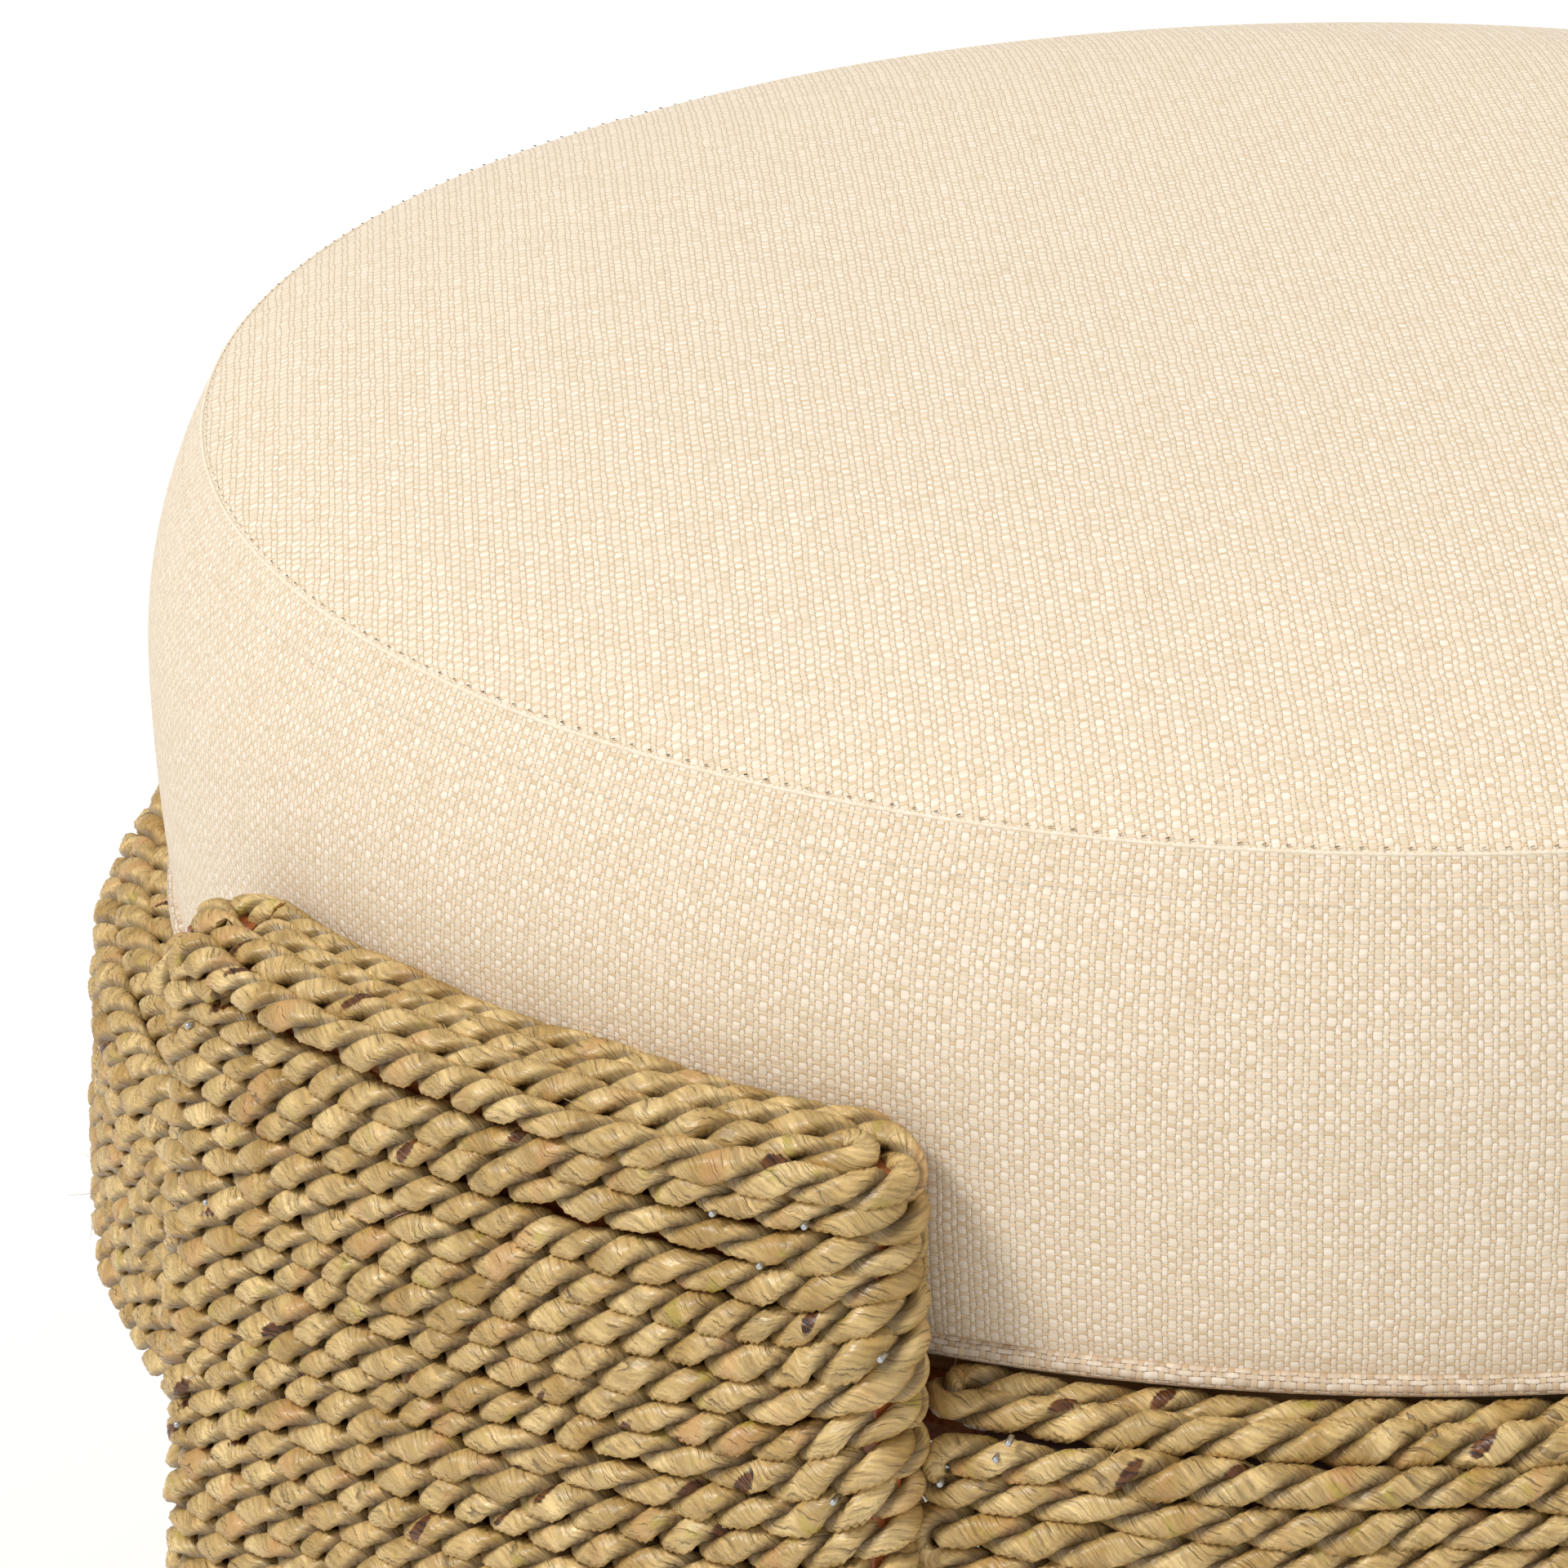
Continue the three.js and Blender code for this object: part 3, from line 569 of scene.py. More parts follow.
def top_roll(name, azimuth, seed):
    straight = roll_reach - end_roundness
    run = np.arange(-straight, straight, fine_step)
    long_run = np.arange(first_end - roll_reach, straight, fine_step)
    inner_run = np.arange(-straight, inner_reach - inner_roundness, fine_step)
    last_run = np.arange(last_end - roll_reach, inner_reach - inner_roundness, fine_step)[::-1]
    parts = [
        (long_run, np.full(len(long_run), front_offset)),
        round_end(roll_reach, 1, front_offset, back_offset, end_roundness),
        (run[::-1], np.full(len(run), back_offset)),
        round_end(roll_reach - left_drawn_in, -1, back_offset, inner_front, end_roundness),
        (inner_run, np.full(len(inner_run), inner_front)),
        round_end(inner_reach, 1, inner_front, inner_back, inner_roundness),
        (last_run, np.full(len(last_run), inner_back)),
    ]
    s = np.concatenate([part[0] for part in parts])
    o = np.concatenate([part[1] for part in parts])
    height = leg_top - 0.47 * roll_diameter - corner_drop * corner_sink(s, end_reach)
    height = height - front_overhang * smooth_step((o - inner_front) / (front_offset - inner_front))
    points = even_route(np.stack([s, o, height], -1), fine_step)
    travelled = lengths_along(points)
    s, o, height = points.T
    ends = np.minimum(travelled, travelled[-1] - travelled)
    height = height - tuck_depth * (1 - smooth_step(ends / tuck_length))
    height = height + roll_wander * wander(travelled, roll_wander_length, seed)
    o = o + roll_depth * wander(travelled, roll_depth_length, seed + 3)
    points = on_ring((slab_radius + o) * spread(height), azimuth + right_drawn_in(s) / slab_radius, height)
    return lay_rope(name, points, roll_diameter, roll_lay, seed)


for number, (leg, azimuth) in enumerate(leg_azimuths.items()):
    roll = dress(top_roll(f"{leg}_roll", azimuth, 50 + number), "frame", seagrass)
    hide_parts(f"{leg}_top_roll")
    woven.append(roll)
print("pieces of rope so far:", len(woven))

# %% [markdown]
# ## The apron
#
# Between the legs the rope is tacked to a curved panel. It goes to and fro, with a tight turn at each end of
# a row, up the face and over the rounded top edge to under the cushion's welt. It is laid a little looser
# than on the legs, so its lobes are longer.

# %% Apron ropes
apron_diameter = 9.3 * MM
apron_lay = 26 * MM
apron_rows = 11
apron_radius = 291.7 * MM
apron_round = 14 * MM
apron_half_angle = math.radians(24.8)
apron_axis_drop = 3.7 * MM
apron_turn_over = math.radians(87)
apron_top_room = 4.8 * MM
apron_left_share, apron_right_share = 1.068, 1.018
shortest_row, longest_row = -1.5, 0.5
apron_wander, apron_wander_length = 0.9 * MM, 34 * MM
apron_depth, apron_depth_length = 0.7 * MM, 22 * MM
apron_corner = seat_top - apron_axis_drop - apron_round
apron_face = apron_corner - (apron_bottom + apron_axis_drop)
apron_pitch = (apron_face + apron_round * apron_turn_over) / (apron_rows - 1)


def apron_surface(way_up):
    """Radius and height at a length up the apron's section: up the face, then round over the top edge."""
    angle = np.maximum(way_up - apron_face, 0) / apron_round
    radius = apron_radius - apron_round + apron_round * np.cos(angle)
    height = apron_bottom + apron_axis_drop + np.minimum(way_up, apron_face) + apron_round * np.sin(angle)
    return radius, np.minimum(height, seat_top - apron_top_room)


def apron_rope(name, azimuth, seed):
    random = np.random.default_rng(seed)
    straight = apron_half_angle * apron_radius - apron_diameter / 2 - apron_pitch / 2
    along, up = [], []
    bend = np.linspace(-math.pi / 2, math.pi / 2, 11)[1:-1]
    for row in range(apron_rows):
        hand = 1 if row % 2 == 0 else -1
        reach = straight + random.uniform(shortest_row, longest_row) * MM
        run = np.arange(-straight, reach, fine_step)
        along += list(hand * run)
        up += [row * apron_pitch] * len(run)
        if row + 1 < apron_rows:
            along += list(hand * (reach + apron_pitch / 2 * np.cos(bend)))
            up += list((row + 0.5 + 0.5 * np.sin(bend)) * apron_pitch)
    points = even_route(np.stack([along, up, np.zeros(len(up))], -1), fine_step)
    travelled = lengths_along(points)
    along, up, _ = points.T
    up = up + apron_wander * wander(travelled, apron_wander_length, seed)
    radius, height = apron_surface(np.maximum(up, 0))
    radius = radius + apron_depth * wander(travelled, apron_depth_length, seed + 3)
    along = along * np.where(along < 0, apron_left_share, apron_right_share)
    points = on_ring(radius * spread(height), azimuth + along / apron_radius, height)
    return lay_rope(name, points, apron_diameter, apron_lay, seed)


for number, (apron, azimuth) in enumerate(apron_azimuths.items()):
    rope = dress(apron_rope(f"{apron}_rows", azimuth, 70 + 10 * number), "frame", seagrass)
    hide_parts(f"{apron}_rope")
    woven.append(rope)
bpy.data.objects.remove(rope_section)
print("row pitch on an apron:", round(apron_pitch / MM, 2), "mm")

# %% [markdown]
# ## Loose fibres
#
# Dried reed frays. Over a thousand hairs of it stand off the rope. They are one curve object with a very
# thin bevel: each hair starts on a face of a rope, leaves it at a low angle and curls a little.

# %% Loose fibres
hairs_per_rope = 70
hair_radius = 0.1 * MM
shortest_hair, longest_hair = 3, 8


def make_hairs(ropes):
    random = np.random.default_rng(9)
    data = bpy.data.curves.new("loose_fibres", "CURVE")
    data.dimensions = "3D"
    data.bevel_depth = hair_radius
    data.bevel_resolution = 0
    for rope in ropes:
        polygons = rope.data.polygons
        for index in random.integers(0, len(polygons), hairs_per_rope):
            face = polygons[int(index)]
            root, normal = np.array(face.center), np.array(face.normal)
            sideways = np.cross(normal, random.normal(size=3))
            sideways /= np.linalg.norm(sideways) + 1e-9
            curl = np.cross(sideways, normal) * random.uniform(-0.6, 0.6)
            length = random.uniform(shortest_hair, longest_hair) * MM
            lift = random.uniform(0.1, 0.45)
            t = np.linspace(0, 1, 5)[:, None]
            way = root + length * (t * sideways + lift * t * normal + t ** 2 * curl)
            spline = data.splines.new("POLY")
            spline.points.add(len(way) - 1)
            spline.points.foreach_set("co", np.c_[way, np.ones(len(way))].ravel())
            spline.points.foreach_set("radius", np.linspace(1, 0.3, len(way)))
    hairs = add_object("loose_fibres", data)
    only(hairs)
    bpy.ops.object.convert(target="MESH")
    return hairs


reed_hair = make_grained(
    "frayed_reed", "#8f7846", "#e0cd9c", (120, 120, 120), limits=(0.35, 0.65), Roughness=0.6
)
dress(make_hairs(woven), "frame", reed_hair)

# %% [markdown]
# ## The cushion cover
#
# A boxed cushion is a round top, a side band and a round bottom, sewn together over foam. Its half profile is
# spun round the axis, which keeps clean rings for the seams. The cloth simulation then lets the cover take up
# the foam's pressure between the rows of stitches, which stay where they are sewn.

# %% Profile of the cover
widest_height = cushion_bottom + widest_share * (seam_height - cushion_bottom)
crown_rise = crown_height - seam_height
edge_roll = 4 * MM
edge_roll_width = 30 * MM
crown_power = 3.3
hem_width = 10 * MM
seam_groove = 0.8 * MM
hem_groove = 0.02 * MM
segments = 176
pole_weld_gap = 0.05 * MM


def boxing_radius(height):
    if height < widest_height:
        away = (widest_height - height) / (widest_height - cushion_bottom)
        return widest_radius - (widest_radius - bottom_radius) * away ** 2
    away = (height - widest_height) / (seam_height - widest_height)
    return widest_radius - (widest_radius - seam_radius) * away ** 2


def crown_at(radius):
    share = radius / seam_radius
    rolled = edge_roll * max(0, 1 - (seam_radius - radius) / edge_roll_width) ** 2
    return seam_height + edge_roll + (crown_rise - edge_roll) * (1 - share ** crown_power) - rolled


# Rings of the cover in mm: below the seam on the side, and in from the seam on the top
below_seam = (92, 84, 76, 68, 60, 52, 45, 38, 32, 26, 21, 17, 14, 11.5, 10, 8.5, 6, 3.5, 1.5, 0.5)
inside_seam = (1.5, 3.5, 6, 9, 13, 18, 24, 31, 39, 48, 58, 70, 84, 100, 118, 138, 160, 184, 208, 232, 252)
bottom_shares = (0.12, 0.3, 0.48, 0.65, 0.8, 0.92, 0.985)
# The rounded bottom edge in mm: out from the bottom's radius, and up from the bottom
bottom_edge = ((-1.2, 1.2), (-0.4, 3.8), (0.8, 6))
profile = [(0.0, cushion_bottom)]
profile += [(bottom_radius * share, cushion_bottom) for share in bottom_shares]
profile += [(bottom_radius + out * MM, cushion_bottom + up * MM) for out, up in bottom_edge]
bottom_rings = len(profile)
profile += [(boxing_radius(seam_height - d * MM), seam_height - d * MM) for d in below_seam]
seam_ring = len(profile)
profile += [(seam_radius, seam_height)]
profile += [(seam_radius - d * MM, crown_at(seam_radius - d * MM)) for d in inside_seam]
profile += [(0.0, crown_height)]
print("rings in the cover:", len(profile))


# %% Spin the profile
def spin_profile(name, points, steps):
    bpy.ops.mesh.primitive_plane_add(size=MM)
    piece = bpy.context.active_object
    piece.name = name
    bpy.ops.object.mode_set(mode="EDIT")
    bpy.ops.mesh.select_all(action="SELECT")
    bpy.ops.mesh.merge(type="CENTER")
    bpy.ops.transform.translate(value=(points[0][0], 0, points[0][1]))
    for (r0, z0), (r1, z1) in zip(points, points[1:]):
        bpy.ops.mesh.extrude_region_move(TRANSFORM_OT_translate={"value": (r1 - r0, 0, z1 - z0)})
    bpy.ops.mesh.select_all(action="SELECT")
    bpy.ops.mesh.spin(steps=steps, angle=2 * math.pi, center=(0, 0, 0), axis=(0, 0, 1))
    weld(pole_weld_gap)
    return piece


cover = spin_profile("cushion_cover", profile, segments)
rest = points_of(cover)
rest_radius = np.hypot(rest[:, 0], rest[:, 1])
flat_profile = np.array(profile)
aside, above = flat_profile.T
ring_of = np.argmin(np.hypot(rest_radius[:, None] - aside, rest[:, 2, None] - above), axis=1)
print("cover:", len(rest), "points")

# %% [markdown]
# ## Simulate the cover
#
# The rings of the seam and the hem stitches and the whole bottom are pinned. The rest swells under a light
# pressure, and no point may move further than 1.2 mm, because the legs stand close round it.

# %% Cloth simulation
swell_limit = 1.2 * MM


def swell(piece, pinned):
    group = piece.vertex_groups.new(name="sewn")
    group.add([int(i) for i in np.flatnonzero(pinned)], 1.0, "REPLACE")
    only(piece)
    bpy.ops.object.modifier_add(type="CLOTH")
    cloth = piece.modifiers[-1]
    cloth.settings.vertex_group_mass = "sewn"
    cloth.settings.use_pressure = True
    cloth.settings.uniform_pressure_force = 2.5
    cloth.settings.tension_stiffness = 40
    cloth.settings.compression_stiffness = 40
    cloth.settings.bending_stiffness = 2
    cloth.settings.effector_weights.gravity = 0
    scene = bpy.context.scene
    for number in range(1, 15):
        scene.frame_set(number)
    bpy.ops.object.modifier_apply(modifier=cloth.name)
    scene.frame_set(1)
    moved = points_of(piece) - rest
    size = np.linalg.norm(moved, axis=1)
    share = np.minimum(1, swell_limit / np.maximum(size, 1e-9))
    piece.data.vertices.foreach_set("co", (rest + moved * share[:, None]).ravel())
    print("cover swelled by up to", round(float(size.max()) / MM, 2), "mm, held to", swell_limit / MM)


hem_ring = int(np.argmin([abs(seam_height - hem_width - z) for r, z in profile[:seam_ring]]))
sewn = (ring_of < bottom_rings) | (ring_of == seam_ring) | (ring_of == hem_ring)
swell(cover, sewn)

# %% Sink the seams and map the weave
thread_turn = math.radians(-0.4)
boxing_way = np.r_[0, np.cumsum(np.hypot(*np.diff(flat_profile, axis=0).T))]


def sink_seams(piece):
    points = points_of(piece)
    for ring, depth in ((seam_ring, seam_groove), (hem_ring, hem_groove)):
        rows_here = ring_of == ring
        inward = points[rows_here] * [1, 1, 0]
        inward /= np.linalg.norm(inward, axis=1)[:, None]
        points[rows_here] -= depth * (0.75 * inward + [0, 0, 0.65])
    piece.data.vertices.foreach_set("co", points.ravel())


def map_weave(piece):
    """Metres of cloth: flat across the top and the bottom, and round the side for the boxing."""
    corners, face = corners_of(piece.data)
    faces = len(piece.data.polygons)
    lowest_ring = np.full(faces, len(profile))
    highest_ring = np.zeros(faces, int)
    np.minimum.at(lowest_ring, face, ring_of[corners])
    np.maximum.at(highest_ring, face, ring_of[corners])
    on_side = (lowest_ring >= bottom_rings - 3) & (highest_ring <= seam_ring)
    x, y = rest[corners, 0], rest[corners, 1]
    azimuth = np.arctan2(x, -y)
    highest_azimuth = np.full(faces, -math.pi)
    np.maximum.at(highest_azimuth, face, azimuth)
    azimuth = azimuth + np.where(highest_azimuth[face] - azimuth > math.pi, 2 * math.pi, 0)
    flat_u = x * math.cos(thread_turn) + y * math.sin(thread_turn)
    flat_v = -x * math.sin(thread_turn) + y * math.cos(thread_turn)
    side = on_side[face]
    u = np.where(side, azimuth * widest_radius, flat_u + 2)
    v = np.where(side, boxing_way[ring_of[corners]], flat_v + 2)
    set_map(piece.data, u, v)


map_weave(cover)
sink_seams(cover)
only(cover)
bpy.ops.object.modifier_add(type="SUBSURF")
cover.modifiers[-1].levels = 1
cover.modifiers[-1].render_levels = 1
bpy.ops.object.modifier_apply(modifier=cover.modifiers[-1].name)
bpy.ops.object.shade_smooth()

# %% [markdown]
# ## Cream canvas
#
# The cloth is an outdoor canvas in a plain weave of thick, slubby yarns. Two sets of threads pass over and
# under each other. With one thread every step of u and v, the product of two cosines says which thread lies
# on top, and the cosine of one coordinate alone gives the round back of a thread. The higher of the two
# threads shows. Every second upright thread is thicker, each thread has its own tone, and slubs come and go
# along it.

# %% Canvas material
warp_pitch = 1.55 * MM
weft_pitch = 1.37 * MM
thick_and_thin = 0.12
thread_stray = 1.3 * MM
thread_relief = 0.3 * MM


def make_canvas(name, warp, weft, light, dark, outline):
    material, tree, shader = new_material(name, Roughness=0.9, Sheen_Weight=0.2, Sheen_Roughness=0.5)
    uv = add_node(tree, "UVMap")
    drift = add_node(tree, "TexNoise", {"Vector": uv, "Scale": 160.0, "Detail": 2.0}).node.outputs["Color"]
    centred = add_node(tree, "VectorMath", {0: drift, 1: (0.5, 0.5, 0.5)}, operation="SUBTRACT")
    small = add_node(tree, "VectorMath", {0: centred, "Scale": thread_stray}, operation="SCALE")
    strayed = add_node(tree, "VectorMath", {0: uv, 1: small}, operation="ADD")
    counted = add_node(tree, "Mapping", {0: strayed, "Scale": (1 / warp, 1 / weft, 1)})
    across = add_node(tree, "SeparateXYZ", {0: counted})
    swing = add_node(tree, "Math", {0: across, 1: math.pi}, operation="MULTIPLY")
    swung = add_node(tree, "Math", {0: swing}, operation="SINE")
    uneven = add_node(tree, "Math", {0: swung, 1: thick_and_thin, 2: across}, operation="MULTIPLY_ADD")
    counts = (uneven, across.node.outputs["Y"])
    waves, backs, numbers = [], [], []
    for count in counts:
        turned = add_node(tree, "Math", {0: count, 1: math.pi}, operation="MULTIPLY")
        wave = add_node(tree, "Math", {0: turned}, operation="COSINE")
        waves.append(wave)
        backs.append(add_node(tree, "Math", {0: wave}, operation="ABSOLUTE"))
        numbers.append(add_node(tree, "Math", {0: count}, operation="ROUND"))
    over = add_node(tree, "Math", {0: waves[0], 1: waves[1]}, operation="MULTIPLY")
    warp_back = add_node(tree, "Math", {0: over, 1: 0.75, 2: backs[0]}, operation="MULTIPLY_ADD")
    warp_high = add_node(tree, "Math", {0: warp_back, 1: 0.48}, operation="ADD")
    weft_high = add_node(tree, "Math", {0: over, 1: -0.75, 2: backs[1]}, operation="MULTIPLY_ADD")
    height = add_node(tree, "Math", {0: warp_high, 1: weft_high}, operation="MAXIMUM")
    warp_shows = add_node(tree, "Math", {0: warp_high, 1: weft_high}, operation="GREATER_THAN")

    # Tone of each thread, with slubs along it
    tones = []
    for k in (0, 1):
        place = {"X": numbers[0], "Y": counts[1]} if k == 0 else {"X": counts[0], "Y": numbers[1]}
        spot = add_node(tree, "CombineXYZ", place)
        scale = (3.7, 0.8, 1) if k == 0 else (0.6, 3.7, 1)
        stretched = add_node(tree, "Mapping", {0: spot, "Scale": scale})
        tones.append(add_node(tree, "TexNoise", {"Vector": stretched, "Scale": 1.0, "Detail": 2.0}))
    tone = add_node(tree, "Mix", {0: warp_shows, 2: tones[1], 3: tones[0]})
    tone_even = add_node(tree, "MapRange", {0: tone, 1: 0.3, 2: 0.66})
    yarn = add_node(tree, "Mix", {0: tone_even, 6: linear(dark), 7: linear(light)}, data_type="RGBA")
    weft_tint = {0: warp_shows, 6: linear("#f6ecdc"), 7: linear("#ffffff")}
    weft_yarn = add_node(tree, "Mix", weft_tint, data_type="RGBA")
    toned = add_node(tree, "Mix", {0: 1.0, 6: yarn, 7: weft_yarn}, data_type="RGBA", blend_type="MULTIPLY")

    # Thin shaded outlines where a thread ends or dives under the other
    edge = add_node(tree, "Math", {0: warp_high, 1: weft_high}, operation="SUBTRACT")
    edge_size = add_node(tree, "Math", {0: edge}, operation="ABSOLUTE")
    edge_line = add_node(tree, "MapRange", {0: edge_size, 1: 0.28, 2: 0.02})
    depth = add_node(tree, "MapRange", {0: height, 1: 0.9, 2: 0.45})
    dark_line = add_node(tree, "Math", {0: edge_line, 1: 0.65, 2: depth}, operation="MULTIPLY_ADD")
    limited = add_node(tree, "MapRange", {0: dark_line, 4: 0.8})
    coloured = add_node(tree, "Mix", {0: limited, 6: toned, 7: linear(outline)}, data_type="RGBA")
    fuzz = add_node(tree, "TexNoise", {"Vector": uv, "Scale": 2600.0, "Detail": 1.0})
    rough_height = add_node(tree, "Math", {0: fuzz, 1: 0.2, 2: height}, operation="MULTIPLY_ADD")
    bump = add_node(tree, "Bump", {"Strength": 0.35, "Distance": thread_relief, "Height": rough_height})
    tree.links.new(coloured, shader.inputs["Base Color"])
    tree.links.new(bump, shader.inputs["Normal"])
    return material


canvas = make_canvas("woven_canvas", warp_pitch, weft_pitch, "#f8ebd8", "#e2cfb1", "#8f7350")
dress(cover, "cushion", canvas)
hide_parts("cushion_boxing", "cushion_top_panel", "cushion_bottom_panel")

# %% [markdown]
# ## The welt
#
# Along the bottom edge runs a welt, a cord wrapped in canvas. It is a ring, so a torus primitive is the
# quickest start. Its strip is cut the other way of the cloth, so its map has the two directions swapped.

# %% Welt
welt_radius = 2.3 * MM
welt_steps, welt_sides = 288, 12
welt_thread_pitches = 1.5 * MM, 2.3 * MM


def make_ring(name, radius, height, half_thickness, steps, sides):
    bpy.ops.mesh.primitive_torus_add(
        location=(0, 0, height), major_radius=radius, minor_radius=half_thickness, major_segments=steps,
        minor_segments=sides,
    )
    ring = bpy.context.active_object
    ring.name = name
    bpy.ops.object.transform_apply(location=True, rotation=True, scale=True)
    bpy.ops.object.shade_smooth()
    return ring


welt_height = cushion_bottom + welt_radius
welt = make_ring("cushion_piping", bottom_radius, welt_height, welt_radius, welt_steps, welt_sides)
layer = welt.data.uv_layers[0].data
uv = np.zeros(len(layer) * 2)
layer.foreach_get("uv", uv)
uv = uv.reshape(-1, 2)[:, ::-1] * [2 * math.pi * welt_radius, 2 * math.pi * bottom_radius]
layer.foreach_set("uv", uv.ravel())
piping_canvas = make_canvas("piping_canvas", *welt_thread_pitches, "#efe0cb", "#c4ab8f", "#57402e")
dress(welt, "cushion", piping_canvas)
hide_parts("cushion_welt")

# %% [markdown]
# ## Stitches
#
# The top seam is sewn so that its edge stands up as a thin lip, with the needle's holes just above it, and it
# is topstitched a centimetre lower. One stitch and one hole are modelled and spun round the axis as copies.

# %% Stitches
stitch_length = 3.2 * MM
stitch_pitch = 4.75 * MM
stitch_thickness = 0.4 * MM
hole_length = 1.0 * MM
hole_thickness = 0.32 * MM
stitch_slant, hole_slant = 0.05, 0.35
stitch_sink, hole_sink, hole_rise = 0.2 * MM, 0.75 * MM, 0.45 * MM
lip_radius = 0.4 * MM
lip_outset, lip_drop = 0.1 * MM, 0.6 * MM
lip_sides = 8


def make_stitches(name, radius, height, length, thickness, lean_angle):
    count = round(2 * math.pi * radius / stitch_pitch)
    bpy.ops.mesh.primitive_cylinder_add(
        vertices=6, radius=thickness / 2, depth=length, location=(radius, 0, height),
        rotation=(math.pi / 2 + lean_angle, 0, 0), end_fill_type="NGON",
    )
    stitches = bpy.context.active_object
    stitches.name = name
    bpy.ops.object.transform_apply(location=True, rotation=True, scale=True)
    bpy.ops.object.mode_set(mode="EDIT")
    bpy.ops.mesh.select_all(action="SELECT")
    bpy.ops.mesh.bevel(offset=thickness / 3, segments=1)
    bpy.ops.mesh.select_all(action="SELECT")
    bpy.ops.mesh.spin(dupli=True, steps=count, angle=2 * math.pi, center=(0, 0, 0), axis=(0, 0, 1))
    weld(weld_gap)
    bpy.ops.object.shade_smooth()
    return stitches


thread_twist_relief = 0.1 * MM
thread_look = {"limits": (0.38, 0.62), "bump": (0.3, thread_twist_relief), "Roughness": 0.7}
thread = make_grained("bonded_thread", "#ead9bd", "#f3e7d2", (900, 900, 900), **thread_look)
needle_hole = make_grained("needle_hole_shade", "#6b563b", "#dcc8a4", (260, 260, 260), **thread_look)
hem_radius = profile[hem_ring][0]
stitch_sizes = (stitch_length, stitch_thickness, stitch_slant)
hole_sizes = (hole_length, hole_thickness, hole_slant)
hem_stitches = make_stitches("hem_stitches", hem_radius - stitch_sink, seam_height - hem_width, *stitch_sizes)
seam_holes = make_stitches("seam_holes", seam_radius - hole_sink, seam_height + hole_rise, *hole_sizes)
lip = make_ring("seam_lip", seam_radius + lip_outset, seam_height - lip_drop, lip_radius, segments, lip_sides)
for piece, finish in ((hem_stitches, thread), (lip, thread), (seam_holes, needle_hole)):
    dress(piece, "cushion", finish)

# %% [markdown]
# ## The hidden frame
#
# Posts, rails, rings, cross bars and canes get a rattan's finish, varnished to a warm orange-brown that glows
# through the gaps in the rope. The deck and the apron panels are plywood, and the screws share the deck's
# finish. The glides are moulded nylon. These are the frame's own solids, which stay as they are. The steel is
# for the brads.

# %% Materials of the frame
grain_relief = 0.2 * MM
fine_look = {"bump": (0.2, 0.1 * MM)}
ply_look = {"detail": 4.0, "limits": (0.3, 0.7), "bump": (0.2, grain_relief), "Roughness": 0.6}
finishes = {
    "rattan": make_grained(
        "varnished_rattan", "#7a3a18", "#b0622c", (900, 900, 60), detail=3.0, limits=(0.3, 0.7),
        bump=(0.3, grain_relief), Roughness=0.35, Coat_Weight=0.3,
    ),
    "deck": make_grained("bare_plywood", "#a9824f", "#d8b683", (22, 160, 400), **ply_look),
    "panel": make_grained("stained_plywood", "#3d1f12", "#6b3a20", (22, 160, 400), **ply_look),
    "glide": make_grained("moulded_nylon", "#1e1b19", "#2f2a26", (900, 900, 900), Roughness=0.5, **fine_look),
    "brad": make_grained(
        "zinc_plated_steel", "#a8abad", "#c6c8c9", (600, 600, 600), Roughness=0.35, Metallic=1.0, **fine_look
    ),
    "foam": make_grained(
        "polyurethane_foam", "#efe9d6", "#dcd3b8", (700, 700, 700), Roughness=1.0, **fine_look
    ),
}
for node_name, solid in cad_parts.items():
    kind = next((k for k in finishes if k in node_name), "rattan")
    if solid.data.materials:
        solid.data.materials[0] = finishes[kind]
    else:
        solid.data.materials.append(finishes[kind])

# %% [markdown]
# ## Brads
#
# The rope is held by small steel brads. Their heads glint here and there near the ends of a leg, and at the
# ends of the apron's rows. One head is a short bevelled cylinder, and its copies are placed on the rope.

# %% Brads
brad_radius = 0.75 * MM
brad_length = 3.2 * MM
brad_edge = 0.2 * MM
leg_brad_radius = 310.2 * MM
apron_brad_radius = 294.2 * MM
# Each brad: the share of the way to the end, and mm below the top of the leg or of the apron
leg_brads = (
    (0.9, 14.5), (0.8, 25), (1.07, 40), (0.69, 16), (0.97, 73), (-0.9, 22), (-0.82, 60), (-0.95, 118),
)
apron_brads = ((-0.88, 6.7), (-0.9, 10.7), (-0.99, 18), (-0.93, 41), (0.9, 9), (0.95, 27))


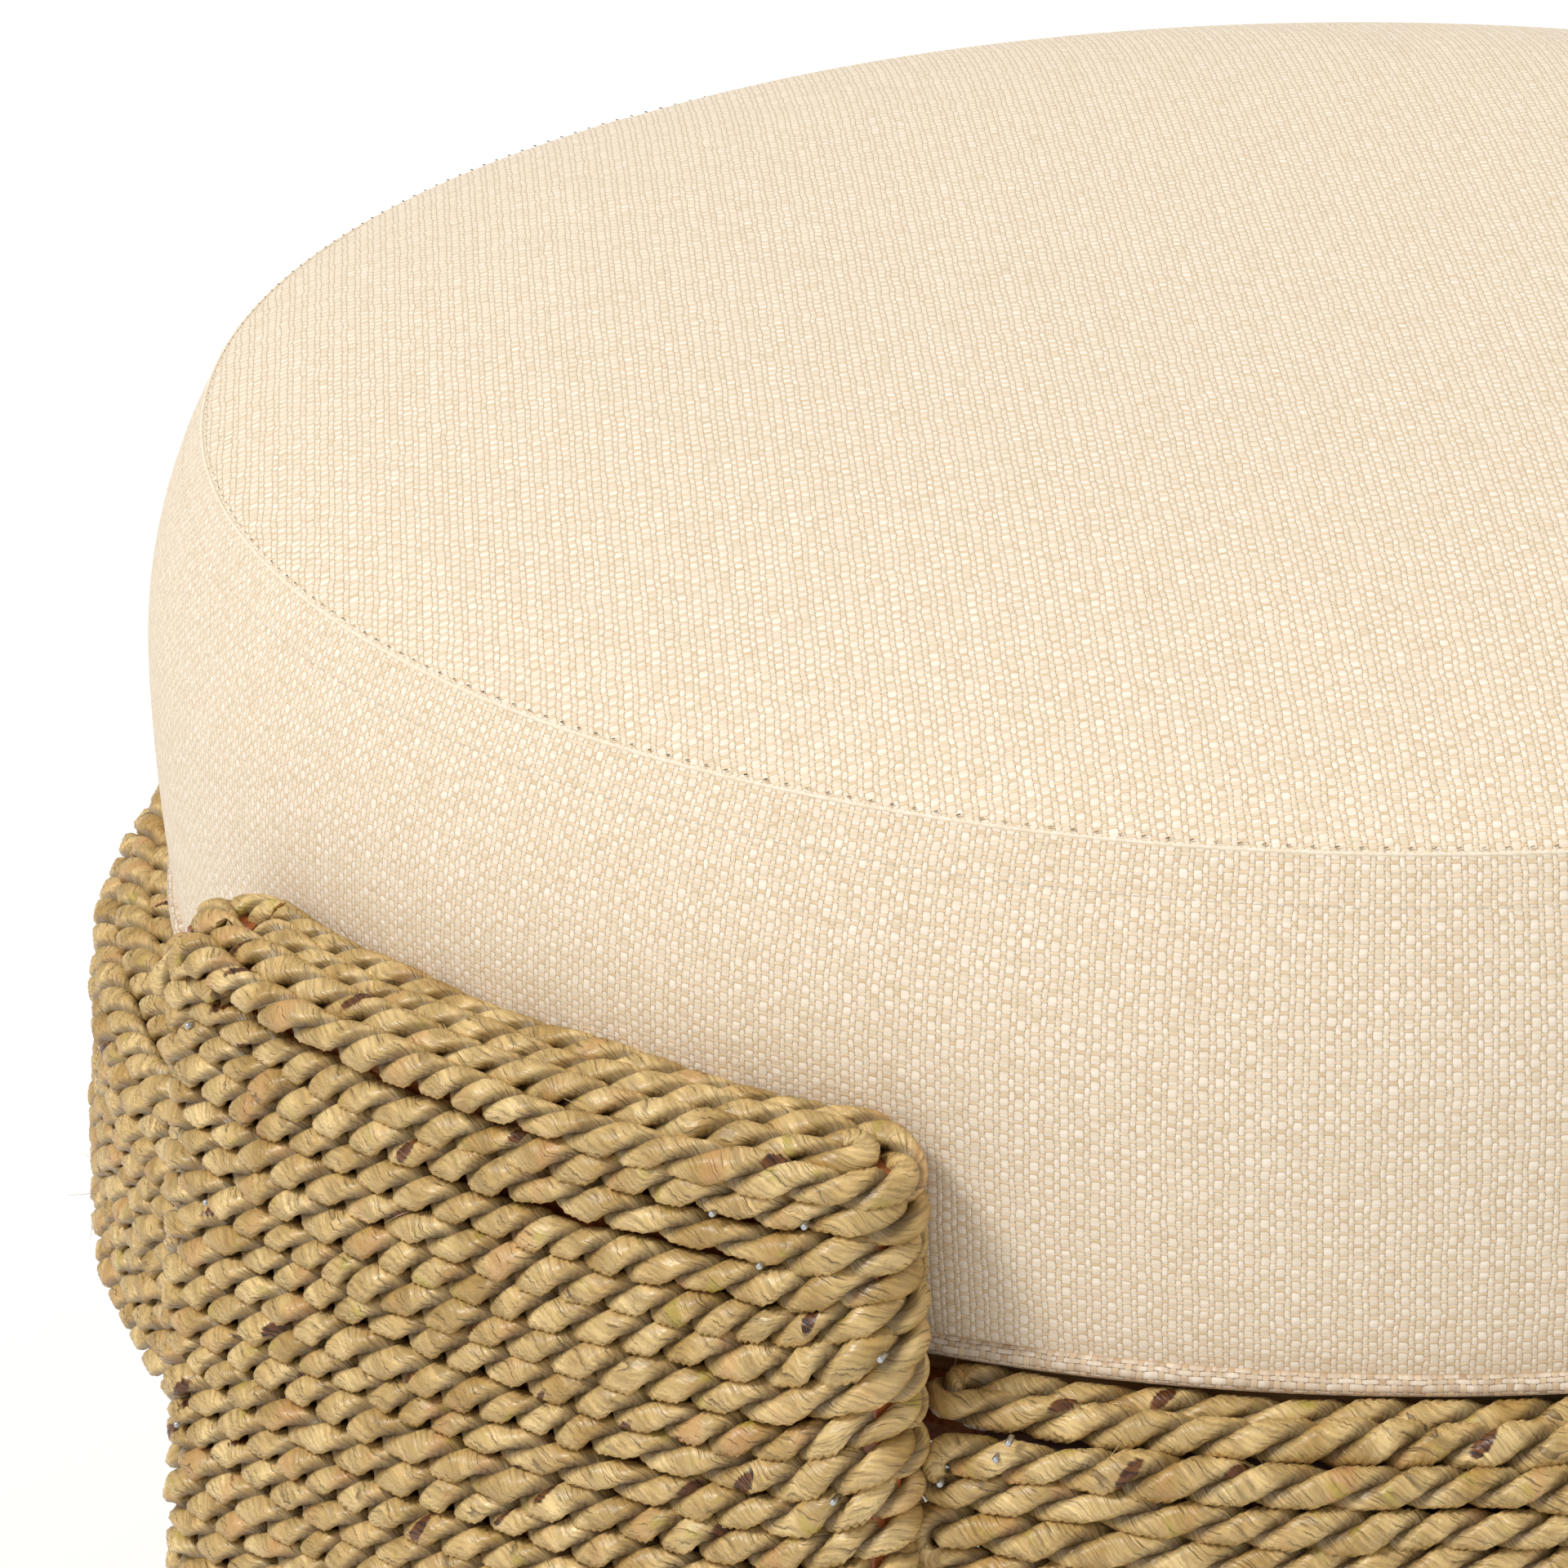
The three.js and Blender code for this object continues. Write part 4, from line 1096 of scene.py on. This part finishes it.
def make_brads():
    spots = []
    for azimuth in leg_azimuths.values():
        for share, drop in leg_brads:
            height = leg_top - drop * MM
            spots.append((leg_brad_radius * spread(height), azimuth + share * post_angle, height))
    for azimuth in apron_azimuths.values():
        for share, drop in apron_brads:
            height = seat_top - drop * MM
            spots.append((apron_brad_radius * spread(height), azimuth + share * apron_half_angle, height))
    bpy.ops.mesh.primitive_cylinder_add(vertices=10, radius=brad_radius, depth=brad_length)
    brads = bpy.context.active_object
    brads.name = "brads"
    bpy.ops.object.mode_set(mode="EDIT")
    bpy.ops.mesh.select_all(action="SELECT")
    bpy.ops.mesh.bevel(offset=brad_edge, segments=1)
    bpy.ops.object.mode_set(mode="OBJECT")
    copies = [brads]
    for _ in spots[1:]:
        twin = brads.copy()
        twin.data = brads.data.copy()
        bpy.context.scene.collection.objects.link(twin)
        copies.append(twin)
    for copy, (radius, azimuth, height) in zip(copies, spots):
        copy.location = (radius * math.sin(azimuth), -radius * math.cos(azimuth), height)
        copy.rotation_euler = (math.pi / 2, 0, azimuth)
    bpy.ops.object.select_all(action="DESELECT")
    for copy in copies:
        copy.select_set(True)
    bpy.context.view_layer.objects.active = brads
    bpy.ops.object.join()
    bpy.ops.object.transform_apply(location=True, rotation=True, scale=True)
    bpy.ops.object.shade_smooth_by_angle(angle=math.radians(40))
    return brads


dress(make_brads(), "frame", finishes["brad"])

# %% [markdown]
# ## Floor and light
#
# The photo has a white ground. A pale floor catches a faint shadow. The light comes from a soft source at the
# left front, a wider one above and behind, a faint one at the right, and an even white surround.

# %% Floor and light
bpy.ops.mesh.primitive_plane_add(size=12)
floor = bpy.context.active_object
floor.name = "floor"
floor_material, _, _ = new_material("pale_floor", Base_Color=linear("#f6f5f4"), Roughness=0.9)
floor.data.materials.append(floor_material)

world = bpy.data.worlds.new("studio")
world.use_nodes = True
world.node_tree.nodes["Background"].inputs["Color"].default_value = linear("#ffffff")
world.node_tree.nodes["Background"].inputs["Strength"].default_value = 0.5
bpy.context.scene.world = world


def soft_light(name, came_from, width, power):
    data = bpy.data.lights.new(name, "SUN")
    data.angle = width
    data.energy = power
    add_object(name, data).rotation_euler = (-Vector(came_from)).to_track_quat("-Z", "Y").to_euler()


soft_light("key", (-1.5, -0.75, 2.0), math.radians(18), 1.97)
soft_light("fill", (2.0, -1.6, 1.2), math.radians(50), 0.1)
soft_light("overhead", (0.3, 0.9, 2.0), math.radians(40), 0.62)
bpy.context.scene.view_settings.view_transform = "Standard"
